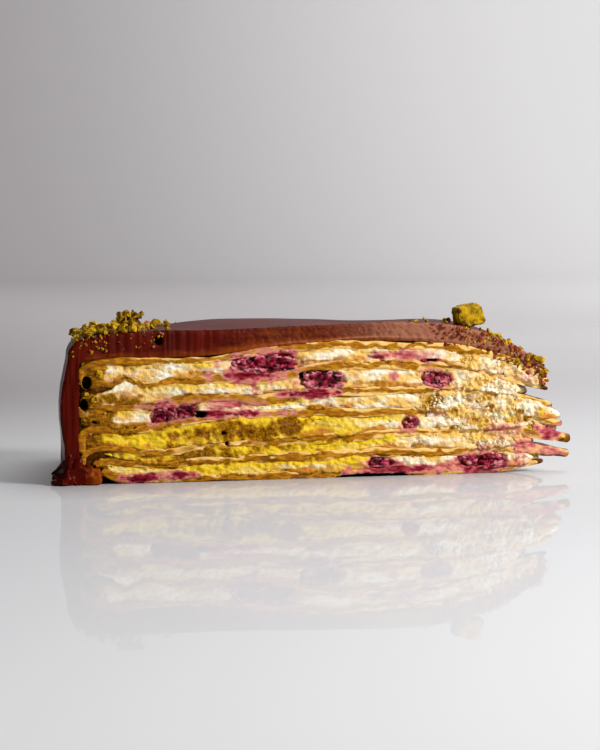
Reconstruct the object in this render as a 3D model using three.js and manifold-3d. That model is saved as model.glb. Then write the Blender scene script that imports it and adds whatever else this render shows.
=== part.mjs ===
// A wedge of crepe cake, cut from a round cake: seven crepes with six fillings of cream between
// them, under a coat of ganache that covers the top and runs down the rim to a spread foot.
// Broken berries lie in the cream at both cuts, and two large nut pieces lie on the coat.
//
// Everything is laid out round the cake's centre. `s` is the distance from that centre, and
// `across` runs from 0 at the front cut to 1 at the back cut. The front cut faces -Y, with the
// wedge's tip towards +X. Heights are millimetres above the table.
import * as THREE from "three";
import { mergeVertices } from "three/addons/utils/BufferGeometryUtils.js";
import Module from "manifold-3d";

const wasm = await Module();
wasm.setup();

// Driving dimensions
const CAKE_RADIUS = 130;
const WEDGE_ANGLE = THREE.MathUtils.degToRad(30);
const COAT_WALL = 3; // how thick the coat is on the rim
const COAT_TIP = 5.2; // how far from the centre the coat ends
const GAP = 0.3; // clearance between neighbouring pieces
const RADIAL_CELLS = 20;
const ANGULAR_CELLS = 4;
const BERRY_CELLS = 10; // how many cells a berry piece, or a nut, has round it
const NUT_CELLS = 10;

// Where the heights below are given, in distance from the cake's centre.
const STATIONS = [2, 9, 17, 30, 45, 60, 77, 95, 110, 124];

// The coat's upper face, and the middle of each crepe, along the front cut. A crepe's `tip` is
// how near the centre it reaches and its `rim` where it ends under the coat.
const COAT_TOP = [21.5, 28.4, 33.4, 37.4, 38.7, 38.4, 37.9, 37.4, 37.2, 36.2];
const CREPES = [
  { thickness: 1.6, tip: 6.4, rim: 126.2, line: [24.3, 26.4, 28.9, 31.9, 33.1, 33.1, 32.0, 30.2, 29.9, 29.7] },
  { thickness: 1.9, tip: 6.2, rim: 126.2, line: [19.8, 22.0, 24.3, 27.0, 27.8, 28.4, 26.0, 25.2, 23.8, 22.6] },
  { thickness: 1.9, tip: 4.6, rim: 126.2, line: [15.6, 18.2, 19.8, 20.8, 21.4, 21.4, 20.6, 20.9, 19.0, 17.6] },
  { thickness: 1.7, tip: 2.3, rim: 126.2, line: [12.1, 13.6, 14.9, 15.4, 16.0, 16.3, 16.6, 15.7, 13.2, 13.4] },
  { thickness: 1.7, tip: 0.5, rim: 126.2, line: [8.4, 10.2, 11.0, 11.0, 10.8, 10.0, 9.4, 8.6, 7.5, 8.6] },
  { thickness: 1.6, tip: 1.0, rim: 122.8, line: [4.6, 5.8, 6.7, 5.5, 5.6, 6.0, 5.7, 4.8, 4.3, 5.6] },
  { thickness: 1.8, tip: 7.5, rim: 117.5, line: [3.2, 2.4, 1.4, 0.8, 0.8, 0.8, 0.8, 0.8, 0.8, 1.3] },
];

// Each cream lies under the crepe of the same number.
const CREAMS = [
  { tip: 6.8, rim: 123.5 },
  { tip: 12, rim: 123 },
  { tip: 3.2, rim: 121 },
  { tip: 8, rim: 122.5 },
  { tip: 9.5, rim: 122 },
  { tip: 8.5, rim: 116.8 },
];

// Berry pieces: the cream that holds each, where its middle lies, its length along the cut, its
// height and its depth into the cake, and how far its far end dips. `across` 1 is the back cut.
const BERRIES = [
  { name: "berry_top_centre", cream: 1, s: 80.5, across: 0, height: 29.2, size: [18, 5.2, 11], dip: 5 },
  { name: "berry_second_centre", cream: 2, s: 65.5, across: 0, height: 24.6, size: [12, 5, 9], dip: 0 },
  { name: "berry_second_tip", cream: 2, s: 36, across: 0, height: 24.0, size: [8, 5.4, 8], dip: -28 },
  { name: "berry_third_rim", cream: 3, s: 106.6, across: 0, height: 16.6, size: [6.5, 4.4, 8], dip: 8 },
  { name: "berry_third_inner", cream: 3, s: 100.2, across: 0, height: 18.3, size: [5.8, 4.4, 8], dip: 8 },
  { name: "berry_fourth_tip", cream: 4, s: 42.6, across: 0, height: 13.4, size: [4.4, 4.6, 4.4], dip: 0 },
  { name: "berry_base_tip", cream: 6, s: 23.5, across: 0, height: 3.6, size: [12.5, 4.8, 8], dip: 0 },
  { name: "berry_base_centre", cream: 6, s: 50.5, across: 0, height: 3.6, size: [6, 2.8, 6], dip: 0 },
  { name: "berry_back_top", cream: 1, s: 58, across: 1, height: 30.8, size: [15, 4.6, 10], dip: 0 },
  { name: "berry_back_second", cream: 2, s: 92, across: 1, height: 23.0, size: [14, 5, 10], dip: 6 },
  { name: "berry_back_fourth", cream: 4, s: 71, across: 1, height: 12.8, size: [13, 5, 9], dip: 0 },
  { name: "berry_back_base", cream: 6, s: 36, across: 1, height: 3.4, size: [11, 3.6, 7], dip: 0 },
];

// Large nut pieces on the coat: where each lies, and its size along, across and up.
const NUTS = [
  { name: "nut_tip", s: 26.4, across: 0.36, size: [7.6, 6.4, 5.8], turn: 8 },
  { name: "nut_rim", s: 113.5, across: 0.09, size: [8.4, 6.6, 5.2], turn: -14 },
];

const COLOURS = {
  coat: { color: 0x5b2a14, roughness: 0.3 },
  crepe: { color: 0xb9842c, roughness: 0.55 },
  cream: { color: 0xf2e2b4, roughness: 0.6 },
  berry: { color: 0x7a0f2c, roughness: 0.35 },
  nut: { color: 0xb7a21c, roughness: 0.7 },
};

const { lerp, smoothstep, degToRad } = THREE.MathUtils;

// A smooth line through the heights at the stations, level beyond both ends.
function heightAt(line, s) {
  const last = STATIONS.length - 1;
  const at = THREE.MathUtils.clamp(s, STATIONS[0], STATIONS[last]);
  let i = 0;
  while (i < last - 1 && at > STATIONS[i + 1]) i++;
  const slope = (k) => {
    const lo = Math.max(k - 1, 0);
    const hi = Math.min(k + 1, last);
    return (line[hi] - line[lo]) / (STATIONS[hi] - STATIONS[lo]);
  };
  const span = STATIONS[i + 1] - STATIONS[i];
  const t = (at - STATIONS[i]) / span;
  const rise = line[i + 1] - line[i];
  const bend = (1 - t) * (span * slope(i) - rise) + t * (rise - span * slope(i + 1));
  return line[i] + t * rise + t * (1 - t) * bend;
}

// The layers drift along the cake and swell a little from one cut to the other, all together, so
// that they never cross.
const DRIFT = 9;
const SWELL = 0.022;

function layerHeight(line, s, across) {
  const inside = smoothstep(s, 15, 50) * (1 - smoothstep(s, 100, 122));
  const height = heightAt(line, s + DRIFT * across * inside);
  return height * (1 + SWELL * inside * Math.sin(s / 11) * Math.sin(Math.PI * across * 0.8));
}

function place(s, across, z) {
  const angle = WEDGE_ANGLE * across;
  return [-s * Math.cos(angle), s * Math.sin(angle), z];
}

// A crepe thins towards its tip. The lowest one rests flat on the table where it would sink in.
function crepeFaces({ thickness, tip, line }) {
  const half = (s) => (thickness / 2) * lerp(0.6, 1, smoothstep(s, tip, tip + 12));
  return {
    top: (s, across) => layerHeight(line, s, across) + half(s),
    bottom: (s, across) => Math.max(0, layerHeight(line, s, across) - half(s)),
  };
}

const coatTop = (s, across) => layerHeight(COAT_TOP, s, across);
const coatUnderside = (s, across) => crepeFaces(CREPES[0]).top(s, across) + GAP;

// A torn tip is rounded: the middle of the layer reaches furthest.
const tipEdge = (tip, across) => tip + 0.25 * tip * (2 * across - 1) ** 2;

// One layer of the wedge between two faces, as a closed grid.
function layerGeometry({ top, bottom, tip, rim }) {
  const rows = ANGULAR_CELLS + 1;
  const count = (RADIAL_CELLS + 1) * rows;
  const positions = [];
  for (const face of [top, bottom]) {
    for (let i = 0; i <= RADIAL_CELLS; i++) {
      for (let j = 0; j < rows; j++) {
        const across = j / ANGULAR_CELLS;
        const s = lerp(tipEdge(tip, across), rim, (i / RADIAL_CELLS) ** 1.15);
        positions.push(...place(s, across, face(s, across)));
      }
    }
  }
  const indices = [];
  const quad = (a, b, c, d) => indices.push(a, b, c, a, c, d);
  const at = (i, j) => i * rows + j;
  for (let i = 0; i < RADIAL_CELLS; i++) {
    for (let j = 0; j < ANGULAR_CELLS; j++) {
      const cell = [at(i, j), at(i, j + 1), at(i + 1, j + 1), at(i + 1, j)];
      quad(...cell);
      quad(...cell.reverse().map((k) => k + count));
    }
    const [front, back] = [0, ANGULAR_CELLS];
    quad(at(i, front), at(i + 1, front), at(i + 1, front) + count, at(i, front) + count);
    quad(at(i + 1, back), at(i, back), at(i, back) + count, at(i + 1, back) + count);
  }
  for (let j = 0; j < ANGULAR_CELLS; j++) {
    quad(at(0, j + 1), at(0, j), at(0, j) + count, at(0, j + 1) + count);
    const outer = RADIAL_CELLS;
    quad(at(outer, j), at(outer, j + 1), at(outer, j + 1) + count, at(outer, j) + count);
  }
  return meshGeometry(positions, indices);
}

function meshGeometry(positions, indices) {
  const geometry = new THREE.BufferGeometry();
  geometry.setAttribute("position", new THREE.Float32BufferAttribute(positions, 3));
  geometry.setIndex(indices);
  return geometry;
}

// The coat's section from tip to foot: over the top, round the shoulder, down a wall that bellies
// out and pinches in above the foot, along the table, and back up inside and under the slab.
const SHOULDER = { width: 7, drop: 4.6 };
const WALL_TOP = 31.5;
const WALL_FOOT = 3.6;
const BELLY = 1.1; // how far the wall bellies out
const FOOT_SPREAD = 2.2;
const TOE_REACH = 8.6; // how far the foot runs in under the layers
const TOE_HEIGHT = 3.6;

function coatSection(across) {
  const points = [];
  const shoulderStart = CAKE_RADIUS - SHOULDER.width;
  const innerWall = CAKE_RADIUS - COAT_WALL;
  const tip = tipEdge(COAT_TIP, across);
  const run = (from, to, cells, height) => {
    for (let i = 0; i <= cells; i++) {
      const s = lerp(from, to, i / cells);
      points.push([s, height(s, across)]);
    }
  };
  run(tip, shoulderStart, RADIAL_CELLS, coatTop);
  const crest = coatTop(shoulderStart, across);
  for (const turn of [22, 45, 68, 90].map(degToRad)) {
    points.push([shoulderStart + SHOULDER.width * Math.sin(turn), crest - SHOULDER.drop * (1 - Math.cos(turn))]);
  }
  const wallCells = 7;
  for (let i = 1; i <= wallCells; i++) {
    const share = i / wallCells;
    const z = lerp(WALL_TOP, WALL_FOOT, share);
    points.push([CAKE_RADIUS + BELLY * Math.sin(Math.PI * 1.3 * share), z]);
  }
  points.push([CAKE_RADIUS + 0.6 * FOOT_SPREAD, 1.8]);
  points.push([CAKE_RADIUS + FOOT_SPREAD, 0.7]);
  points.push([CAKE_RADIUS + 0.8 * FOOT_SPREAD, 0]);
  points.push([CAKE_RADIUS - TOE_REACH + 0.6, 0]);
  points.push([CAKE_RADIUS - TOE_REACH, 1.4]);
  points.push([CAKE_RADIUS - TOE_REACH + 1, TOE_HEIGHT]);
  points.push([innerWall - 1.6, TOE_HEIGHT + 0.4]);
  points.push([innerWall, TOE_HEIGHT + 2.6]);
  run(innerWall, tip + 0.8, RADIAL_CELLS, coatUnderside);
  return points;
}

// The section swept from cut to cut, with both cuts closed.
function coatGeometry() {
  const sections = Array.from({ length: ANGULAR_CELLS + 1 }, (_, j) => coatSection(j / ANGULAR_CELLS));
  const count = sections[0].length;
  const positions = sections.flatMap((points, j) => points.flatMap(([s, z]) => place(s, j / ANGULAR_CELLS, z)));
  const indices = [];
  for (let j = 0; j < ANGULAR_CELLS; j++) {
    for (let i = 0; i < count; i++) {
      const next = (i + 1) % count;
      const [a, b, c, d] = [j * count + i, (j + 1) * count + i, (j + 1) * count + next, j * count + next];
      indices.push(a, b, c, a, c, d);
    }
  }
  const last = ANGULAR_CELLS * count;
  const cap = (points) => THREE.ShapeUtils.triangulateShape(points.map(([s, z]) => new THREE.Vector2(s, z)), []);
  for (const [a, b, c] of cap(sections[0])) indices.push(c, b, a);
  for (const [a, b, c] of cap(sections[ANGULAR_CELLS])) indices.push(last + a, last + b, last + c);
  return meshGeometry(positions, indices);
}

function solidOf(geometry) {
  const bare = geometry.index ? geometry.clone() : geometry;
  bare.deleteAttribute("normal");
  bare.deleteAttribute("uv");
  const merged = mergeVertices(bare, 1e-4);
  return new wasm.Manifold(
    new wasm.Mesh({
      numProp: 3,
      vertProperties: new Float32Array(merged.attributes.position.array),
      triVerts: new Uint32Array(merged.index.array),
    }),
  );
}

function geometryOf(solid) {
  const { vertProperties, triVerts } = solid.getMesh();
  return meshGeometry(Array.from(vertProperties), Array.from(triVerts));
}

// A lump with gently uneven sides, `square` from 1 for an egg towards 0 for a rounded block.
function lumpGeometry([length, depth, height], square, seed, cells) {
  const geometry = new THREE.SphereGeometry(1, cells, Math.round(cells * 0.64));
  const points = geometry.attributes.position;
  const p = new THREE.Vector3();
  const ease = (v) => Math.sign(v) * Math.abs(v) ** square;
  for (let i = 0; i < points.count; i++) {
    p.fromBufferAttribute(points, i);
    const uneven = 1 + 0.06 * Math.sin(3 * p.x + seed) * Math.cos(4 * p.y - seed) * Math.cos(2.5 * p.z);
    points.setXYZ(i, (ease(p.x) * uneven * length) / 2, (ease(p.y) * uneven * depth) / 2, (ease(p.z) * uneven * height) / 2);
  }
  return geometry;
}

function berrySolid({ s, across, height, size: [length, tall, depth], dip }, index, grow) {
  const size = [length, depth, tall].map((side) => side + 2 * grow);
  const geometry = lumpGeometry(size, 0.8, index, BERRY_CELLS);
  geometry.rotateY(degToRad(dip));
  geometry.rotateZ(-WEDGE_ANGLE * across);
  const [x, y, z] = place(s, across, height);
  const inward = across === 0 ? 1 : -1;
  const sink = 0.12 * depth * inward; // the cut passes near the berry's middle
  geometry.translate(x + sink * Math.sin(WEDGE_ANGLE * across), y + sink * Math.cos(WEDGE_ANGLE * across), z);
  return solidOf(geometry);
}

const cake = new THREE.Group();

function add(name, geometry, material) {
  const mesh = new THREE.Mesh(geometry, material);
  mesh.name = name;
  cake.add(mesh);
}

const materials = Object.fromEntries(
  Object.entries(COLOURS).map(([name, look]) => [name, new THREE.MeshStandardMaterial({ ...look, metalness: 0 })]),
);

add("ganache_coat", coatGeometry(), materials.coat);

CREPES.forEach((crepe, i) => {
  add(`crepe_${i + 1}`, layerGeometry({ ...crepe, ...crepeFaces(crepe) }), materials.crepe);
});

// A cream fills the space between two crepes, and each berry takes its own bite out of the cream.
CREAMS.forEach((cream, i) => {
  const above = crepeFaces(CREPES[i]);
  const below = crepeFaces(CREPES[i + 1]);
  const faces = {
    top: (s, across) => above.bottom(s, across) - GAP,
    bottom: (s, across) => below.top(s, across) + GAP,
  };
  const filling = solidOf(layerGeometry({ ...cream, ...faces }));
  let left = filling;
  BERRIES.forEach((berry, index) => {
    if (berry.cream !== i + 1) return;
    add(berry.name, geometryOf(filling.intersect(berrySolid(berry, index, 0))), materials.berry);
    left = left.subtract(berrySolid(berry, index, GAP));
  });
  add(`cream_${i + 1}`, geometryOf(left), materials.cream);
});

NUTS.forEach(({ name, s, across, size, turn }, index) => {
  const geometry = lumpGeometry(size, 0.6, index, NUT_CELLS);
  geometry.rotateZ(degToRad(turn));
  const [x, y] = place(s, across, 0);
  geometry.translate(x, y, coatTop(s, across) + size[2] / 2 + 2 * GAP);
  add(name, geometry, materials.nut);
});

// The origin is the middle of the footprint, on the table.
const box = new THREE.Box3().setFromObject(cake);
const centre = box.getCenter(new THREE.Vector3());
cake.position.set(-centre.x, -centre.y, 0);

export default cake;
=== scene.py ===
"""A slice of crepe cake: crepes and creams under a ganache coat, with berries and nuts.

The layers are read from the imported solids, so every height comes from the frame. Lengths are in
millimetres until a mesh is written. `s` is the distance from the cake's middle and `across` runs
from 0 at the front cut to 1 at the back cut.
"""

import itertools
import math

import bmesh
import bpy
import numpy as np
from mathutils import Matrix, Vector
from mathutils.bvhtree import BVHTree


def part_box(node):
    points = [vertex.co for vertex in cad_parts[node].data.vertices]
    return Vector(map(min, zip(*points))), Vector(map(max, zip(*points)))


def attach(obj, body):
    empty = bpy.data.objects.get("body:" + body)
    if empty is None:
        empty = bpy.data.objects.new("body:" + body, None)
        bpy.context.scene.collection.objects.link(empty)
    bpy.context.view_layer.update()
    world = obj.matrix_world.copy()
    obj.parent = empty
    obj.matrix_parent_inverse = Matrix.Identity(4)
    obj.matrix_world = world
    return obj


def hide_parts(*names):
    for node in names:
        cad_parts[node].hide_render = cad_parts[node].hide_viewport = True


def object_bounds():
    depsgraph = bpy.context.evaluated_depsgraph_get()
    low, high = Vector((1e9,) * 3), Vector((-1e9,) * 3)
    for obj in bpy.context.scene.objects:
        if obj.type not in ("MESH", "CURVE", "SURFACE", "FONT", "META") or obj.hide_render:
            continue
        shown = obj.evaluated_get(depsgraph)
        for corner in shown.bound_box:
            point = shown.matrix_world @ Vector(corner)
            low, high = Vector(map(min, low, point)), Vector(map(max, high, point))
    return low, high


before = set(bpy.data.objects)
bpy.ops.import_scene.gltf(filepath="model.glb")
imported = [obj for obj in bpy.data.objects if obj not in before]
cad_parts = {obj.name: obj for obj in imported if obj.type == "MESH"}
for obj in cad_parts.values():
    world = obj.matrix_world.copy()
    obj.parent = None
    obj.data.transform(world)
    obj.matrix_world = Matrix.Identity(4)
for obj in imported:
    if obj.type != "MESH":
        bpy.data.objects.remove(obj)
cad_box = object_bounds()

bl_info = {
    "name": "Crepe Cake Slice",
    "version": (1, 0, 0),
    "blender": (4, 5, 0),
    "location": "View3D > Sidebar > Cake",
    "description": "Makes a slice of crepe cake with ganache, berries and nuts, and its stage",
    "category": "Add Mesh",
}

MM = 0.001
LOW = np.array(cad_box[0]) / MM
HIGH = np.array(cad_box[1]) / MM
WEDGE = math.radians(30)
FOOT_RADIUS = (HIGH[1] - LOW[1]) / math.sin(WEDGE)
CENTRE = np.array([LOW[0] + FOOT_RADIUS, LOW[1]])
CREPES = 7
CREAMS = 6

# ---------------------------------------------------------------- sums that every piece uses


def smoothstep(x, low, high):
    t = np.clip((x - low) / (high - low), 0, 1)
    return t * t * (3 - 2 * t)


def lerp(a, b, t):
    return a + (b - a) * t


def place(s, across, z):
    """Points in mm from their distance to the middle, their share of the wedge and their height."""
    turn = WEDGE * across
    s, turn, z = np.broadcast_arrays(s, turn, z)
    return np.stack([CENTRE[0] - s * np.cos(turn), CENTRE[1] + s * np.sin(turn), z], axis=-1)


def where(points):
    """The distance to the middle and the share of the wedge of points in mm."""
    x, y = CENTRE[0] - points[..., 0], points[..., 1] - CENTRE[1]
    return np.hypot(x, y), np.arctan2(y, x) / WEDGE


class Grain:
    """Smooth noise and rounded lumps in space, the same on every run."""

    SIDE = 32

    def __init__(self, seed):
        rng = np.random.default_rng(seed)
        self.values = rng.uniform(-1, 1, (self.SIDE,) * 3)
        self.middles = rng.uniform(0, 1, (self.SIDE,) * 3 + (3,))

    def __call__(self, points, size):
        cell = points / np.asarray(size, float)
        base = np.floor(cell).astype(int)
        t = cell - base
        t = t * t * (3 - 2 * t)
        total = np.zeros(points.shape[:-1])
        for corner in itertools.product((0, 1), repeat=3):
            weight = np.prod(np.where(corner, t, 1 - t), axis=-1)
            at = (base + corner) % self.SIDE
            total += weight * self.values[at[..., 0], at[..., 1], at[..., 2]]
        return total * 1.5

    def lumps(self, points, size):
        """1 at the middle of each lump and 0 in the cracks between lumps."""
        cell = points / np.asarray(size, float)
        base = np.floor(cell).astype(int)
        nearest = np.full(points.shape[:-1], 9.0)
        for corner in itertools.product((-1, 0, 1), repeat=3):
            at = base + corner
            wrapped = at % self.SIDE
            middle = at + self.middles[wrapped[..., 0], wrapped[..., 1], wrapped[..., 2]]
            nearest = np.minimum(nearest, np.linalg.norm(cell - middle, axis=-1))
        return 1 - np.clip(nearest, 0, 1)


COARSE = Grain(3)
MEDIUM = Grain(5)
FINE = Grain(8)

# ---------------------------------------------------------------- heights from the frame

TABLE_S = np.arange(0, 131, 1.0)
TABLE_ACROSS = np.linspace(0, 1, 5)
SMOOTHING = 2.0  # mm over which the solids' facets are smoothed


def read_points(mesh):
    """A mesh's points in mm."""
    flat = np.empty(len(mesh.vertices) * 3)
    mesh.vertices.foreach_get("co", flat)
    return flat.reshape(-1, 3) / MM


def node_points(name):
    return read_points(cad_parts[name].data)


def node_tree(name):
    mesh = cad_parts[name].data
    faces = [tuple(face.vertices) for face in mesh.polygons]
    return BVHTree.FromPolygons(node_points(name).tolist(), faces)


def first_hit(tree, origin, direction, axis):
    hit = tree.ray_cast(Vector(origin), Vector(direction))[0]
    return np.nan if hit is None else hit[axis]


def filled(values, positions):
    """The gaps in a line of heights: on past the tip at the same slope, and level past the rim."""
    known = ~np.isnan(values)
    at, heights = positions[known], values[known]
    out = np.interp(positions, at, heights)
    slope = (heights[4] - heights[1]) / (at[4] - at[1])
    before = positions < at[1]
    out[before] = heights[1] + slope * (positions[before] - at[1])
    return out


def smoothed(values, sigma):
    reach = int(math.ceil(3 * sigma))
    weights = np.exp(-0.5 * (np.arange(-reach, reach + 1) / sigma) ** 2)
    padded = np.concatenate(
        [
            2 * values[0] - values[reach:0:-1],
            values,
            2 * values[-1] - values[-2 : -reach - 2 : -1],
        ]
    )
    return np.convolve(padded, weights / weights.sum(), mode="valid")


def height_table(tree, start, direction, reach=math.inf):
    """One face's heights over distance and across, looked up along vertical rays out to a reach."""
    rows = []
    for across in TABLE_ACROSS:
        inside = min(max(across, 0.01), 0.99)
        spots = place(TABLE_S, inside, start)
        line = np.array([first_hit(tree, p, (0, 0, direction), 2) for p in spots])
        line[TABLE_S > reach] = np.nan
        rows.append(smoothed(filled(line, TABLE_S), SMOOTHING))
    return np.array(rows)


def look_up(table, s, across):
    row = np.clip(across, 0, 1) * (len(TABLE_ACROSS) - 1)
    low = np.minimum(row.astype(int), len(TABLE_ACROSS) - 2)
    share = row - low
    column = np.clip(s, 0, TABLE_S[-1] - 1e-6)
    left = column.astype(int)
    part = column - left
    first = lerp(table[low, left], table[low, left + 1], part)
    second = lerp(table[low + 1, left], table[low + 1, left + 1], part)
    return lerp(first, second, share)


class Layer:
    """The middle height and half the thickness of one packed layer, and how far it reaches."""

    def __init__(self, node):
        tree = node_tree(node)
        top = height_table(tree, 100.0, -1)
        bottom = height_table(tree, -100.0, 1)
        self.middle = (top + bottom) / 2
        self.half = np.maximum((top - bottom) / 2, 0.3)
        low, high = (np.array(c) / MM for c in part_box(node))
        self.tip = (CENTRE[0] - high[0]) / math.cos(WEDGE / 2)
        self.rim = CENTRE[0] - low[0]


crepe_layers = [Layer(f"crepe_{i + 1}") for i in range(CREPES)]
cream_layers = [Layer(f"cream_{i + 1}") for i in range(CREAMS)]
CAVITY_HEIGHT = 15.0  # a height in the room under the coat, over its foot
coat_tree = node_tree("ganache_coat")
coat_top = height_table(coat_tree, 100.0, -1)
coat_under = height_table(coat_tree, CAVITY_HEIGHT, 1, 125.0)

# Humps and dips of single crepes near a cut: crepe, distance, rise, half-width and how far in.
FRONT_HUMPS = [
    (2, 115.9, 2.6, 2.6, 9),
    (2, 83.0, -0.9, 6.0, 9),
    (3, 83.0, -0.8, 3.6, 8),
    (5, 124.5, 0.9, 5.0, 30),
    (6, 124.5, 2.0, 5.0, 30),
    (7, 124.5, 3.4, 5.0, 30),
]
BACK_HUMPS = [
    (3, 104.0, 1.7, 3.4, 9),
    (4, 62.0, 0.9, 5.0, 9),
    (2, 40.0, -0.8, 4.0, 9),
]


TONGUES = {4: 0.5, 5: 1.2, 6: 1.1}  # crepes that hang out thick at the torn tip


def crepe_middle(index, s, across):
    """The middle height of a crepe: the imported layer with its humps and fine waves."""
    layer = crepe_layers[index]
    z = look_up(layer.middle, s, across)
    inward = s * WEDGE * across
    outward = s * WEDGE * (1 - across)
    for humps, depth in ((FRONT_HUMPS, inward), (BACK_HUMPS, outward)):
        for crepe, at, rise, half_width, reach in humps:
            if crepe == index + 1:
                z = z + rise * np.exp(-(((s - at) / half_width) ** 2) - (depth / reach) ** 2)
    points = place(s, across, 37.0 * index)
    wave = 0.3 * COARSE(points, (10, 14, 9)) + 0.14 * MEDIUM(points, (3.6, 8, 4))
    calm = smoothstep(s, 3, 20) * (0.25 if index == CREPES - 1 else 1.0)
    return z + wave * calm


def crepe_half(index, s, across):
    points = place(s, across, 37.0 * index + 11)
    fullness = 1.08 + 0.2 * smoothstep(s, 16, 34) * (1 - smoothstep(s, 74, 90))
    fullness = fullness + TONGUES.get(index + 1, 0.0) * (1 - smoothstep(s, 7, 22))
    uneven = 0.26 * COARSE(points, (7, 9, 5)) + 0.2 * MEDIUM(points, (3, 6, 5))
    return look_up(crepe_layers[index].half, s, across) * (fullness + uneven)


def crepe_share(index, s, z, across, points):
    """How much of a crepe shows at points of a cut: its band, frayed into the creams beside it."""
    frayed = z + 0.5 * COARSE(points, (6, 6, 2.6)) + 0.4 * MEDIUM(points, (2.4, 2.4, 1.3))
    frayed = frayed + 0.2 * FINE(points, (0.9, 0.9, 0.6))
    shown = crepe_half(index, s, across) * lerp(0.5, 0.85, smoothstep(s, 48, 88))
    away = np.abs(frayed - crepe_middle(index, s, across)) / shown
    return 1 - smoothstep(away, 0.5, 1.5)


# ---------------------------------------------------------------- what shows on the two cuts

# Spots on the cuts: distance, height, half-length, half-height and strength. The berries add
# their own, from their places in the frame.
FRONT_JUICE = [
    (82.4, 28.1, 12.5, 4.8, 0.66),  # round the top berry
    (84.0, 26.0, 8.5, 1.3, 0.95),
    (78.0, 31.2, 9.0, 1.1, 0.85),
    (51.0, 29.9, 2.2, 0.9, 0.75),
    (43.4, 30.2, 12.0, 1.7, 0.48),
    (37.3, 29.0, 3.2, 0.9, 0.7),
    (66.5, 24.2, 9.0, 2.8, 0.45),
    (70.2, 21.2, 11.0, 1.3, 0.95),  # the third crepe, under the second berry
    (89.8, 18.9, 9.0, 2.0, 0.42),
    (89.5, 16.6, 15.5, 1.2, 0.92),
    (104.0, 16.9, 8.5, 3.3, 0.7),
    (46.9, 25.0, 1.9, 1.5, 0.62),
    (36.1, 24.2, 6.2, 3.0, 0.6),
    (42.3, 13.2, 3.8, 3.0, 0.42),
    (36.1, 15.2, 3.0, 1.5, 0.4),
    (12.0, 24.4, 6.5, 2.4, 0.25),
    (17.5, 10.8, 6.8, 2.4, 0.34),
    (11.5, 6.6, 6.5, 3.4, 0.42),
    (112.5, 1.3, 6.0, 1.3, 0.95),
    (101.0, 2.0, 3.2, 1.1, 0.85),
    (106.0, 1.8, 4.0, 1.2, 0.5),
    (45.0, 1.5, 14.5, 1.4, 0.85),
    (50.5, 3.4, 5.5, 1.8, 0.8),
    (23.3, 2.8, 9.5, 3.2, 0.8),
    (4.8, 10.1, 7.0, 2.4, 0.7),  # the torn end of the fifth crepe
    (5.1, 5.0, 6.0, 2.2, 0.5),
]
BACK_JUICE = [
    (58.0, 30.5, 11.0, 3.0, 0.6),
    (92.0, 22.8, 10.0, 3.2, 0.62),
    (88.0, 20.4, 9.0, 1.2, 0.8),
    (71.0, 12.8, 9.0, 3.0, 0.62),
    (70.0, 10.0, 8.0, 1.2, 0.8),
    (36.0, 3.2, 9.0, 2.6, 0.7),
    (104.0, 1.6, 10.0, 1.4, 0.7),
    (5.0, 10.0, 6.0, 2.0, 0.8),
    (24.0, 24.5, 6.0, 2.6, 0.4),
]
FRONT_GOLD = [
    (73.8, 13.2, 6.2, 3.6, 1.0),  # a smooth smear of batter
    (86.9, 11.8, 17.5, 3.2, 0.9),
    (99.1, 6.8, 17.5, 2.6, 0.85),
    (79.2, 8.3, 9.5, 1.6, 0.55),
    (52.6, 23.6, 7.5, 0.8, 0.6),
    (36.5, 16.5, 5.5, 4.4, 0.85),  # crumb torn out at the tip
    (27.0, 19.5, 5.0, 2.2, 0.55),
    (24.0, 13.5, 9.0, 1.6, 0.5),
    (118.0, 20.6, 9.0, 2.6, 0.9),
    (123.0, 17.0, 4.5, 5.0, 1.0),
    (124.5, 10.0, 3.0, 5.0, 1.0),
    (125.0, 27.0, 2.6, 6.0, 1.0),
    (104.0, 21.2, 9.0, 1.2, 0.4),
    (18.0, 6.6, 7.0, 1.6, 0.5),
    (38.0, 7.4, 9.0, 1.2, 0.5),
]
BACK_GOLD = [
    (60.0, 8.0, 12.0, 2.6, 0.7),
    (98.0, 11.5, 9.0, 2.6, 0.75),
    (34.0, 16.5, 6.0, 3.4, 0.7),
    (112.0, 21.0, 7.0, 2.4, 0.6),
    (84.0, 6.4, 8.0, 1.8, 0.6),
]
FRONT_TORN = [
    (18.0, 22.5, 21.0, 8.5, 1.0),
    (24.0, 14.5, 18.0, 6.0, 1.0),
    (36.0, 15.8, 6.5, 4.6, 1.0),
    (12.0, 6.5, 13.0, 4.5, 0.9),
    (92.0, 9.5, 22.0, 4.5, 0.45),
]
BACK_TORN = [
    (20.0, 20.0, 21.0, 9.5, 1.0),
    (22.0, 10.0, 18.0, 6.0, 1.0),
    (96.0, 10.5, 16.0, 4.5, 0.5),
]
# Holes in the cuts, with their depth in mm in place of a strength.
FRONT_HOLES = [
    (125.2, 24.6, 1.2, 1.6, 3.0),
    (125.9, 19.7, 1.0, 1.5, 3.0),
    (123.2, 15.3, 0.9, 0.5, 2.4),
    (66.6, 25.9, 4.6, 0.95, 3.0),
    (107.4, 34.9, 0.95, 0.8, 1.6),
    (37.3, 29.0, 2.4, 0.4, 1.2),
    (91.0, 11.9, 0.65, 0.5, 1.2),
    (90.1, 9.3, 0.5, 0.6, 1.2),
    (51.0, 0.1, 9.5, 0.6, 3.0),
    (97.0, 16.6, 1.6, 0.9, 2.4),
    (21.0, 3.2, 1.4, 1.1, 2.2),
]
BACK_HOLES = [
    (54.0, 31.6, 3.6, 0.8, 2.6),
    (88.5, 24.2, 2.8, 0.8, 2.6),
    (108.0, 9.8, 0.8, 0.6, 1.4),
    (45.0, 0.2, 8.0, 0.8, 3.5),
]

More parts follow.
